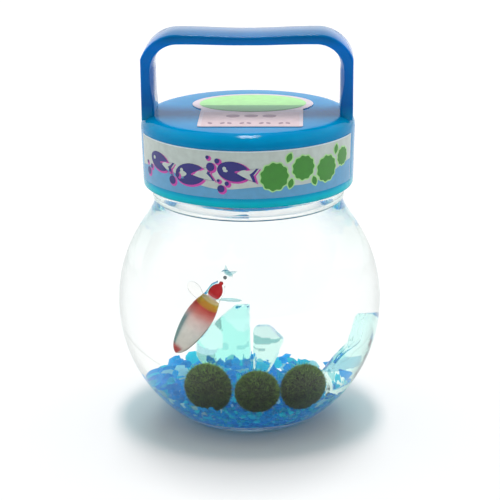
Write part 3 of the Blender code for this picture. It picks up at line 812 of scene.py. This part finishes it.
def add_plates(name, outlines, put, lift, material, thickness=INK):
    """Thin plates with these outlines, as one mesh. put(x, y, lift) places a point."""
    verts, faces = [], []
    for outline in outlines:
        start, count = len(verts), len(outline)
        middle = middle_of(outline)
        for depth in (lift, lift + thickness):
            verts += [put(x, y, depth) for x, y in outline]
        centre = len(verts)
        verts += [put(*middle, lift), put(*middle, lift + thickness)]
        for i in range(count):
            near, far = start + i, start + (i + 1) % count
            faces += [(near, far, centre), (count + near, count + far, centre + 1),
                      (near, far, count + far, count + near)]
    return add_mesh(name, verts, faces, material, 40)


def make_label(prints):
    """A band with a wave, fish, bubbles and moss balls."""
    half_angle = LABEL_HALF_ANGLE - LABEL_EDGE / LID_RADIUS

    def wave_top(angle):
        x = angle / LABEL_HALF_ANGLE
        return 90.4 + 1.7 * math.sin(3.3 * x - 1.9) + 0.9 * math.sin(8 * x + 0.4)

    def put(x, z, lift):
        return on_label(x / LID_RADIUS, z, lift)

    low = LABEL_LOW_Z + 0.02
    pieces = [
        wrapped("label_paper_band", LABEL_HALF_ANGLE, LABEL_LOW_Z, lambda a: LABEL_HIGH_Z, 0, PAPER,
                prints["label_border"]),
        wrapped("label_field", half_angle, low, lambda a: LABEL_HIGH_Z - LABEL_EDGE, PAPER, INK,
                prints["label_field"]),
        wrapped("label_wave", half_angle, low, wave_top, PAPER + INK, INK, prints["label_wave"])]
    left_marks, eyes = [], []
    for x, z, length, heading in ((-32, 94.6, 9.6, 12), (-18.4, 92.6, 11.4, -8), (-3.6, 94.6, 10.4, 10)):
        left_marks.append(shifted(fish_outline(length, length * 0.62, heading), x, z))
        eyes.append(shifted(round_outline(0.62, count=16), x - 0.27 * length, z + 0.09 * length))
    for x, z, size in ((-25.6, 89.6, 1.4), (-11, 95.8, 1.4), (-39, 90, 1.3), (-7.6, 88.8, 1.2)):
        left_marks += bubble_group(x, z, size)
    right_marks = []
    for x, z, radius in ((9.6, 92.6, 4.5), (19.6, 94.6, 3.9), (29.2, 92.8, 4.2), (37.6, 95.2, 2.9)):
        right_marks.append(shifted(moss_ball_outline(radius), x, z))
    for x, z, lean in ((13.8, 97, 24), (24.4, 88.2, -20), (33.4, 96.8, 10), (14.6, 88.4, 16)):
        right_marks.append(shifted(leaf_outline(3.2, 1.9, lean), x, z))
    halo = [shifted(grown(mark, 0.3), 0.45, -0.35) for mark in left_marks]
    rims = [grown(mark, 0.45) for mark in right_marks]
    for name, marks, layer, ink in (
            ("halo", halo, 2, "ink_magenta"), ("left", left_marks, 3, "ink_purple"),
            ("eyes", eyes, 4, "label_field"), ("edge", rims, 2, "ink_pale_green"),
            ("right", right_marks, 3, "ink_green")):
        pieces.append(add_plates("label_print_" + name, marks, put, PAPER + layer * INK, prints[ink]))
    place_all(pieces[::-1], "cap", "label_paper", "label_band")


def sticker_outline():
    """An oval over a tab with rounded corners."""
    start = math.degrees(math.acos(TAB_HALF_X / OVAL_HALF_X))
    corner_x, corner_y = TAB_HALF_X - TAB_CORNER, TAB_LOW_Y + TAB_CORNER
    oval = arc(0, OVAL_Y, OVAL_HALF_X, -start, 180 + start, 64, OVAL_HALF_Y)
    left = arc(-corner_x, corner_y, TAB_CORNER, 180, 270, 3)
    return oval + left + arc(corner_x, corner_y, TAB_CORNER, -90, 0, 3)


def make_sticker(prints):
    """A sticker with a pale green oval, and a row of drops on its tab."""

    def put(x, y, lift):
        return STICKER_X + x, y, LID_TOP_Z + PAPER_LIFT + lift

    pool_y = OVAL_Y + 0.3
    tab = [(-15.8, -3.6), (-15.8, -22.6), (15.8, -22.6), (15.8, -3.6)]
    marks = [shifted(leaf_outline(2.6, 1.5, 20 if k % 2 else -20), -12.6 + 3.15 * k, -20.4) for k in range(9)]
    marks += [shifted(round_outline(2.3, 0.8), x, -9.2) for x in (-6, 0, 6)]
    pieces = [add_plates("sticker_paper_disc", [sticker_outline()], put, 0, prints["sticker_border"], PAPER)]
    for name, outlines, layer in (
            ("sticker_tab", [tab], 0),
            ("sticker_pool", [arc(0, pool_y, 18, 0, 360, 72, 12.6)[:-1]], 1),
            ("sticker_bank", [arc(0, pool_y, 17.9, 196, 344, 72, 12.5)], 2),
            ("sticker_marks", marks, 1)):
        pieces.append(add_plates(name, outlines, put, PAPER + layer * INK, prints[name]))
    place_all(pieces[::-1], "cap", "sticker_paper", "top_sticker")


# Gravel

def bed_height(x, y):
    dish = BED_DISH * (x / BED_DISH_RADIUS) ** 2
    wave_x = math.sin(math.tau * x / BED_LUMP_WAVE + 0.8 * math.sin(y / BED_LUMP_WAVE))
    wave_y = math.sin(math.tau * y / (1.3 * BED_LUMP_WAVE) + 1.1)
    return BED_MID_Z + BED_SLOPE_X * x + BED_SLOPE_Y * y + dish + BED_LUMP * wave_x * wave_y


def inside_radius(z):
    """Radius of the jar's inside at this height."""
    share = (z - BULB_CENTRE_Z) / (BULB_HALF_HEIGHT - GLASS_WALL)
    return (BULB_RADIUS - GLASS_WALL) * math.sqrt(max(0, 1 - share * share))


def chip_forms(rng):
    """A set of broken, flat-faced chips about 1 across."""
    forms = []
    for _ in range(CHIP_FORMS):
        bm = bmesh.new()
        stretch = Vector((rng.uniform(0.75, 1.15), rng.uniform(0.7, 1), rng.uniform(0.55, 0.85)))
        for _ in range(rng.randint(11, 15)):
            bm.verts.new(any_direction(rng) * 0.5 * stretch)
        bmesh.ops.convex_hull(bm, input=bm.verts)
        bmesh.ops.delete(bm, geom=[vert for vert in bm.verts if not vert.link_faces], context="VERTS")
        forms.append(taken_from(bm))
    return forms


def chip_places(rng):
    """Places for the chips on a jittered lattice, clear of glass and moss: (x, y, z, size)."""
    places = []
    layers = int((BED_TOP_Z - FLOOR_Z) / CHIP_LAYER) + 1
    rows, columns = int(2 * LATTICE_Y / CHIP_ROW), int(2 * LATTICE_X / CHIP_SPACING)
    for k, j, i in product(range(layers), range(rows), range(columns)):
        x = -LATTICE_X + (i + 0.5 * ((j + k) % 2)) * CHIP_SPACING + rng.uniform(-CHIP_JITTER, CHIP_JITTER)
        y = -LATTICE_Y + (j + 0.33 * (k % 3)) * CHIP_ROW + rng.uniform(-CHIP_JITTER, CHIP_JITTER)
        z = FLOOR_Z + 1.3 + k * CHIP_LAYER + rng.uniform(-0.5, 0.5)
        depth = bed_height(x, y) - z
        size = rng.uniform(1.9, 2.7) + smooth_step(6, 1.5, depth) * rng.random()
        if depth < CHIP_SINK + BED_LEFT_DIP * smooth_step(-16, -31, x):
            continue
        if math.hypot(x, y) > inside_radius(z - size / 3) - size / 2 - 0.1:
            continue
        if all((x - a) ** 2 + (y - b) ** 2 + ((z - c) / tall) ** 2 >= (r + 0.36 * size) ** 2
               for _, a, b, c, r, tall in MARIMOS):
            places.append((x, y, z, size))
    return places


def chip_colour(rng, size):
    """Azure of several depths, with some cyan chips and a few paler ones. Painted light: more of the cyan and
    pale ones lie near the bed's top, where the chips catch more light.
    """
    # Painted light: larger chips, which lie near the bed's top, are more often cyan and pale
    kind = rng.random() + 0.3 * smooth_step(2.7, 3.2, size)
    base = (0, 0.49, 1) if kind < 0.66 else (0.02, 0.8, 1) if kind < 0.98 else (0.55, 1, 1)
    shade = rng.uniform(0.75, 1.15)
    return tuple(min(1, c * shade) for c in base)


def make_gravel(material):
    rng = random.Random(11)
    forms = chip_forms(rng)
    verts, faces, colours = [], [], []
    for x, y, z, size in chip_places(rng):
        form_verts, form_faces = rng.choice(forms)
        turn = Matrix.Rotation(rng.uniform(0, math.tau), 3, "Z")
        for axis in "XY":
            turn = turn @ Matrix.Rotation(rng.uniform(-0.9, 0.9), 3, axis)
        start = len(verts)
        for point in form_verts:
            spot = turn @ (point * size) + Vector((x, y, z))
            verts.append((spot.x, spot.y, max(spot.z, FLOOR_Z + 0.3)))
        colours += [chip_colour(rng, size)] * len(form_verts)
        faces += [[start + index for index in face] for face in form_faces]
    gravel = add_mesh("gravel_chips", verts, faces, material)
    paint(gravel, "chip_tint_and_painted_light", colours)
    place(gravel, "jar", "blue_gravel", "gravel_bed")


# Marimo balls

def make_marimo(name, centre, radius, tall, material, seed):
    """A ball of matted threads whose loose tips stand out all round. Its threads carry painted light: tips
    far lighter than roots, and lighter upward and on stray threads.
    """
    rng = random.Random(seed)
    offset = Vector((seed * 3.1, seed * 1.7, 0))
    bm = bmesh.new()
    bmesh.ops.create_icosphere(bm, subdivisions=5, radius=1)
    points, faces = taken_from(bm)
    felt = radius - MOSS_NAP
    verts, colours = [], []
    for point in points:
        direction = point.normalized()
        lump = 0.22 * noise.noise(direction * 2.1 + offset) + 0.1 * noise.noise(direction * 9 + offset)
        verts.append(direction * (felt + lump) + centre)
        shade = 0.8 + 0.5 * noise.noise(direction * 5 + offset)
        colours.append((0.034 * shade, 0.054 * shade, 0.02 * shade))
    for _ in range(MOSS_THREADS):
        direction = any_direction(rng)
        across = direction.orthogonal().normalized()
        across.rotate(Matrix.Rotation(rng.uniform(0, math.tau), 3, direction))
        other = direction.cross(across)
        lean = across * rng.uniform(0, 0.75) + other * rng.uniform(-0.3, 0.3)
        stray = rng.random() < 0.07
        length = MOSS_NAP * (rng.uniform(1.2, 1.9) if stray else rng.uniform(0.5, 1))
        root = centre + direction * (felt - 0.12)
        width = rng.uniform(0.06, 0.11)
        a, b, c, tip = range(len(verts), len(verts) + 4)
        for k in range(3):
            angle = math.tau * k / 3
            verts.append(root + (across * math.cos(angle) + other * math.sin(angle)) * width)
        verts.append(root + (direction + lean).normalized() * (length + 0.1))
        faces += [(a, b, tip), (b, c, tip), (c, a, tip)]
        # Painted light: upward threads are lighter and downward ones darker, stray threads lighter still
        shade = rng.uniform(0.3, 1.5) * (0.85 + 0.55 * direction.z) * (1.5 if stray else 1)
        colours += [(0.03 * shade, 0.052 * shade, 0.016 * shade)] * 3
        # Painted light: each tip far lighter than its root, for backlit thread ends
        colours.append((0.34 * shade, 0.6 * shade, 0.12 * shade))
    foot_z = centre.z - 0.35 * (tall - 1) * radius
    verts = [(x, y, foot_z + (z - centre.z) * tall) for x, y, z in verts]
    ball = add_mesh(name + "_moss", verts, faces, material, 60)
    paint(ball, "moss_tint_and_painted_light", colours)
    place(ball, "jar", "moss", name)


# Ice-clear chunks

def in_outline(x, z, outline):
    """Whether the point lies inside the outline."""
    inside = False
    for (x1, z1), (x2, z2) in zip(outline, outline[1:] + outline[:1]):
        if (z1 > z) != (z2 > z) and x < x1 + (x2 - x1) * (z - z1) / (z2 - z1):
            inside = not inside
    return inside


def chunk_block(form):
    """A block on the chunk's outline, whose front and back are narrower than its middle."""
    outline = [Vector((x, 0, z)) for x, z in form["outline"]]
    middle = sum(outline, Vector()) / len(outline)
    low_z = min(point.z for point in outline)
    height = max(point.z for point in outline) - low_z
    bm = bmesh.new()
    rings = []
    for y, narrow in zip(form["depths"], (form["narrow"], 1, 1, form["narrow"])):
        squash = 1 - CHUNK_DROP * max(0, y - form["depths"][1]) / height
        spots = [middle + (point - middle) * narrow for point in outline]
        rings.append([bm.verts.new((spot.x, y, low_z + (spot.z - low_z) * squash)) for spot in spots])
    for near, far in zip(rings, rings[1:]):
        for i, vert in enumerate(near):
            bm.faces.new((near[i - 1], vert, far[i], far[i - 1]))
    bm.faces.new(rings[0])
    bm.faces.new(reversed(rings[-1]))
    bmesh.ops.recalc_face_normals(bm, faces=bm.faces)
    return bm


def make_chunk(name, form, material, seed):
    """A broken block on its outline, with corners struck off, then melted smooth."""
    rng = random.Random(seed)
    bm = chunk_block(form)
    centre = sum((vert.co for vert in bm.verts), Vector()) / len(bm.verts)
    for _ in range(CHUNK_BREAKS):
        normal = any_direction(rng)
        reach = max((vert.co - centre).dot(normal) for vert in bm.verts)
        cut = centre + normal * (reach - rng.uniform(0.2, 0.8))
        parts = bm.verts[:] + bm.edges[:] + bm.faces[:]
        result = bmesh.ops.bisect_plane(bm, geom=parts, plane_co=cut, plane_no=normal, clear_outer=True)
        rim = [item for item in result["geom_cut"] if isinstance(item, bmesh.types.BMEdge)]
        if rim:
            bmesh.ops.contextual_create(bm, geom=rim)
    chunk = add_mesh(name + "_clear", *taken_from(bm), material)
    remesh = chunk.modifiers.new("Even faces", "REMESH")
    remesh.mode, remesh.voxel_size = "VOXEL", CHUNK_GRAIN * MM
    melt = chunk.modifiers.new("Melt", "SMOOTH")
    melt.factor, melt.iterations = 0.5, 6
    apply_modifiers(chunk)
    offset = Vector((seed * 5, 0, 0))
    for vert, point in zip(chunk.data.vertices, points_of(chunk)):
        ripple = CHUNK_RIPPLE * (noise.noise(point * 0.3 + offset) - 0.5)
        vert.co = (point + (point - centre).normalized() * ripple) * MM
    chunk.data.shade_smooth()

    # Painted light and shade: front points inside a facet's outline take the lighter and darker tints listed
    # for the facets
    def tint(point):
        if point.y < form["depths"][1] + 1:
            for facet, colour in form["facets"]:
                if in_outline(point.x, point.z, facet):
                    return colour
        return form["tint"]

    paint(chunk, "ice_tint_and_painted_light", map(tint, points_of(chunk)))
    place(chunk, "jar", "ice_acrylic", name)


# Sea angel

# Its coloured core and its clear skin, as (share of the length, radius)
BODY_OUTLINE = ((-0.008, 0), (0, 0.45), (0.03, 1.2), (0.1, 2.15), (0.25, 3.15), (0.42, 3.65), (0.56, 3.4),
                (0.64, 2.9), (0.685, 2.5), (0.7, 1.5), (0.72, 1.2), (0.745, 1.55), (0.79, 1.7), (0.83, 1.5),
                (0.87, 0.9), (0.89, 0.5), (0.92, 0.5), (0.935, 0))
SKIN_OUTLINE = ((-0.012, 0), (0, 0.6), (0.03, 1.4), (0.1, 2.35), (0.25, 3.35), (0.42, 3.85), (0.56, 3.6),
                (0.66, 2.95), (0.74, 2.35), (0.84, 2.2), (0.9, 1.38), (0.935, 1.55), (0.97, 1.85),
                (1.01, 1.9), (1.045, 1.5), (1.065, 0.8), (1.072, 0))
PADDLE_OUTLINE = ((0, 0), (0.1, 0.16), (0.35, 0.34), (0.65, 0.5), (0.85, 0.42), (0.96, 0.22), (1, 0))
HORN_OUTLINE = ((0, 0), (0.15, 0.55), (0.6, 0.42), (1, 0))

# Colours of the core along its length
CORE_STOPS = (
    (0, (0.92, 0.86, 0.76)), (0.3, (0.98, 0.93, 0.86)), (0.43, (0.96, 0.74, 0.7)),
    (0.52, (0.84, 0.26, 0.22)), (0.6, (0.74, 0.1, 0.08)), (0.62, (0.7, 0.54, 0.04)),
    (0.675, (0.74, 0.6, 0.06)), (0.69, (0.98, 0.95, 0.94)), (0.735, (0.98, 0.93, 0.92)),
    (0.745, (0.7, 0.05, 0.06)), (0.86, (0.74, 0.06, 0.07)), (1, (0.66, 0.06, 0.06)))


def figure_matrix():
    up = (FIGURE_HEAD - FIGURE_TAIL).normalized()
    back = Vector((0, 1, 0))
    side = back.cross(up).normalized()
    return Matrix.Translation(FIGURE_TAIL) @ Matrix((side, back, up)).transposed().to_4x4()


def smooth_outline(points, count):
    """A smooth curve through (share, radius) points, with this many facets between two."""
    curve = []
    padded = [Vector(point) for point in (points[0], *points, points[-1])]
    for a, b, c, d in zip(padded, padded[1:], padded[2:], padded[3:]):
        curve += geometry.interpolate_bezier(b, b + (c - a) / 6, c - (d - b) / 6, c, count + 1)[:-1]
    return [(point.x, max(point.y, 0)) for point in curve + padded[-1:]]


def figure_part(name, section, steps, material, where=Matrix(), flat=1):
    """A turned piece put in its place in the figurine's frame, its depth brought down to flat."""
    verts, faces = lathe(section, steps)
    matrix = figure_matrix() @ where
    return add_mesh(name, [matrix @ Vector((x, y * flat, z)) for x, y, z in verts], faces, material, 60)


def along_figure(outline):
    return [(radius, share * FIGURE_LENGTH) for share, radius in smooth_outline(outline, 5)]


def turned_at(share, lean, twist=0):
    """A place on the figurine's axis, leaning to its side by lean and turned about itself by twist."""
    leant = Matrix.Rotation(math.radians(lean), 4, "Y") @ Matrix.Rotation(math.radians(twist), 4, "Z")
    return Matrix.Translation((0, 0, share * FIGURE_LENGTH)) @ leant


def blend(start, end, amount):
    return tuple(between(c, d, amount) for c, d in zip(start, end))


def body_colour(share, side):
    """Colour along the figurine from its tail, with painted shade on its lower left flank and lower right
    edge. side is -1 on its left flank and 1 on its right one.
    """
    colour = CORE_STOPS[0][1]
    for (a, _), (b, following) in zip(CORE_STOPS, CORE_STOPS[1:]):
        colour = blend(colour, following, min(1, max(0, (share - a) / (b - a))))
    # Painted shade: dark teal down the lower left flank
    left = smooth_step(0.76, 0.94, -side)
    colour = blend(colour, (0.12, 0.3, 0.3), left * smooth_step(0.5, 0.38, share))
    tail = smooth_step(-0.5, -0.1, -side) * smooth_step(0.1, 0.05, share)
    colour = blend(colour, (0.66, 0.05, 0.04), tail)
    # Painted shade: dark olive along the lower right edge
    return blend(colour, (0.22, 0.22, 0.06), smooth_step(0.8, 0.97, side) * smooth_step(0.5, 0.3, share))


def make_figure(skin, colour):
    """A lampworked sea angel: coloured core, clear skin, two paddle wings, two horns and an eye."""
    inverse = figure_matrix().inverted()

    def along(piece):
        """The share of the length and the side of each point of a piece."""
        for point in points_of(piece):
            local = inverse @ point
            reach = math.hypot(local.x, local.y)
            yield local.z / FIGURE_LENGTH, local.x / reach if reach > 1e-6 else 0

    core = figure_part("sea_angel_core", along_figure(BODY_OUTLINE), 40, colour)
    paint(core, "figure_tint_and_painted_shade", [body_colour(*spot) for spot in along(core)])
    body = figure_part("sea_angel_skin", along_figure(SKIN_OUTLINE), 48, skin)
    # Painted reflection: the top of the head is tinted dark teal
    painted_crown_reflection = (0.25, 0.48, 0.5)
    paint(body, "skin_tint_and_painted_light", [blend(WHITE, painted_crown_reflection, smooth_step(1.03, 1.055, share))
                              for share, _ in along(body)])
    paddle = [(r * WING_WIDTH, share * WING_LENGTH) for share, r in smooth_outline(PADDLE_OUTLINE, 5)]
    flat = WING_THICKNESS / WING_WIDTH
    left = figure_part("sea_angel_wing_left", paddle, 28, skin, turned_at(0.62, -68), flat)
    right = figure_part("sea_angel_wing_right", paddle, 28, skin, turned_at(0.7, 62, 80), flat)
    # Painted shade: a dark rim on the left wing's edges, the rest clear
    rim, clear = (0.42, 0.38, 0.4), (0.99, 0.97, 0.96)
    paint(left, "skin_tint_and_painted_light", [rim if (i - 1) % 14 in (13, 0, 1) else clear
                              for i in range(len(left.data.vertices))])
    paint(right, "skin_tint_and_painted_light", repeat((0.55, 0.78, 0.8)))
    pieces = [core, left, right]
    horn = [(r, share * 3) for share, r in smooth_outline(HORN_OUTLINE, 4)]
    for k, lean in enumerate((-38, 38)):
        pieces.append(figure_part("sea_angel_horn_%d" % k, horn, 14, skin, turned_at(1.02, lean)))
        paint(pieces[-1], "skin_tint_and_painted_light", repeat((0.62, 0.8, 0.82)))
    bead = [(0, -0.5), (0.35, -0.35), (0.5, 0), (0.35, 0.35), (0, 0.5)]
    eye = figure_part("sea_angel_eye", bead, 16, colour, turned_at(0.985, 0))
    paint(eye, "figure_tint_and_painted_shade", repeat((0.3, 0.34, 0.34)))
    place_all(pieces + [eye, body], "jar", "figurine_glass", "sea_angel")


# Stage

def make_stage():
    """A pale floor, a surround that is dim in front and overhead, and a long soft lamp above."""
    material, shader = new_material("floor_paper")
    feed(shader, {"Base Color": (0.9, 0.905, 0.91), "Roughness": 0.9, "Specular IOR Level": 0.1})
    corners = [(-4000, -4000, 0), (4000, -4000, 0), (4000, 4000, 0), (-4000, 4000, 0)]
    floor = add_mesh("studio_floor", corners, [(0, 1, 2, 3)], material)

    world = bpy.data.worlds.new("studio_surround")
    world.use_nodes = True
    bpy.context.scene.world = world
    background = world.node_tree.nodes["Background"]
    direction = add(background, "TexCoord", (), "Generated")
    back, up = (add(background, "SeparateXYZ", (direction,), axis) for axis in "YZ")
    wall = add_range(back, -0.1, -0.7, SURROUND_BEHIND, SURROUND_FRONT)
    ends = (add_range(up, 0.12, 0.24, 1, SURROUND_GAP), add_range(up, 0.38, 0.54, SURROUND_GAP, 1))
    gap = add(up, "Math", ends, operation="MAXIMUM")
    ceiling = add_range(up, 0.6, 0.95, 1, SURROUND_TOP)
    feed(background, {"Color": WHITE, "Strength": times(wall, gap, ceiling)})

    lamp = bpy.data.lights.new("softbox", "AREA")
    lamp.shape = "RECTANGLE"
    lamp.size, lamp.size_y = LAMP_SIZE
    lamp.energy = LAMP_POWER
    add_object("softbox", lamp).location = LAMP_PLACE


def make_camera():
    turn = Matrix()
    for angle, axis in ((CAMERA_AZIMUTH, "Z"), (math.pi / 2 - CAMERA_ELEVATION, "X"), (-CAMERA_ROLL, "Z")):
        turn = turn @ Matrix.Rotation(angle, 4, axis)
    camera = bpy.data.cameras.new("photo_camera")
    camera.sensor_width = SENSOR_WIDTH
    camera.lens = CAMERA_LENS
    camera.clip_start, camera.clip_end = 0.01, 20
    rig = add_object("photo_camera", camera)
    away = Matrix.Translation((0, 0, CAMERA_DISTANCE * MM))
    rig.matrix_world = Matrix.Translation(CAMERA_TARGET * MM) @ turn @ away
    bpy.context.scene.camera = rig


def set_rendering():
    scene = bpy.context.scene
    scene.view_settings.view_transform = "Standard"
    for kind, bounces in (("max_bounces", 40), ("transmission_bounces", 32), ("transparent_max_bounces", 48),
                          ("diffuse_bounces", 3), ("glossy_bounces", 6)):
        setattr(scene.cycles, kind, bounces)


def main():
    set_rendering()
    make_stage()
    make_camera()
    make_glass_jar(clear_glass("clear_glass", GLASS_IOR, (0.31, 0.45, 0.47), GLASS_EDGE),
                   clear_glass("clear_glass_inside", GLASS_IOR, WHITE),
                   clear_glass("clear_glass_wet", GLASS_IOR / WATER_IOR, WHITE))
    make_water(water("water", WATER_IOR), water("water_side", 1))
    make_lid(blue_plastic())
    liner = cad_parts["lid_liner"]
    liner.data.materials.clear()
    liner.data.materials.append(foam_sheet())
    prints = {name: printed(name, colour) for name, colour in PRINTS.items()}
    make_label(prints)
    make_sticker(prints)

    # These lie in water, so the indices of the glass ones are those over the index of water
    gravel = tinted("blue_gravel", "chip_tint_and_painted_light", {"Roughness": 0.03, "Transmission Weight": 0.45, "IOR": 1.16},
                    (0.46, 0.84, 0.97), glow=0.35)
    make_gravel(gravel)
    moss = tinted("moss", "moss_tint_and_painted_light", {"Roughness": 0.95, "Specular IOR Level": 0.05}, glow=0.4,
                  patches=(380, 5, 0.65, 0.7, 1.3))
    for seed, (name, x, y, z, radius, tall) in enumerate(MARIMOS, start=1):
        make_marimo(name, Vector((x, y, z)), radius, tall, moss, seed)
    ice = tinted("ice_acrylic", "ice_tint_and_painted_light", {"IOR": 1.16, **CLEAR}, (0.7, 0.95, 0.95))
    for seed, (name, form) in enumerate(CHUNKS.items(), start=4):
        make_chunk(name, form, ice, seed)
    skin = tinted("figurine_glass", "skin_tint_and_painted_light", {"IOR": 1.09, **CLEAR}, (0.95, 0.97, 0.97))
    rods = tinted("figurine_colour", "figure_tint_and_painted_shade", {"Roughness": 0.2, "Transmission Weight": 0.75,
                                                     "IOR": 1.03}, glow=0.5, patches=(500, 4, 0.6, 0.9, 1.08))
    make_figure(skin, rods)


main()
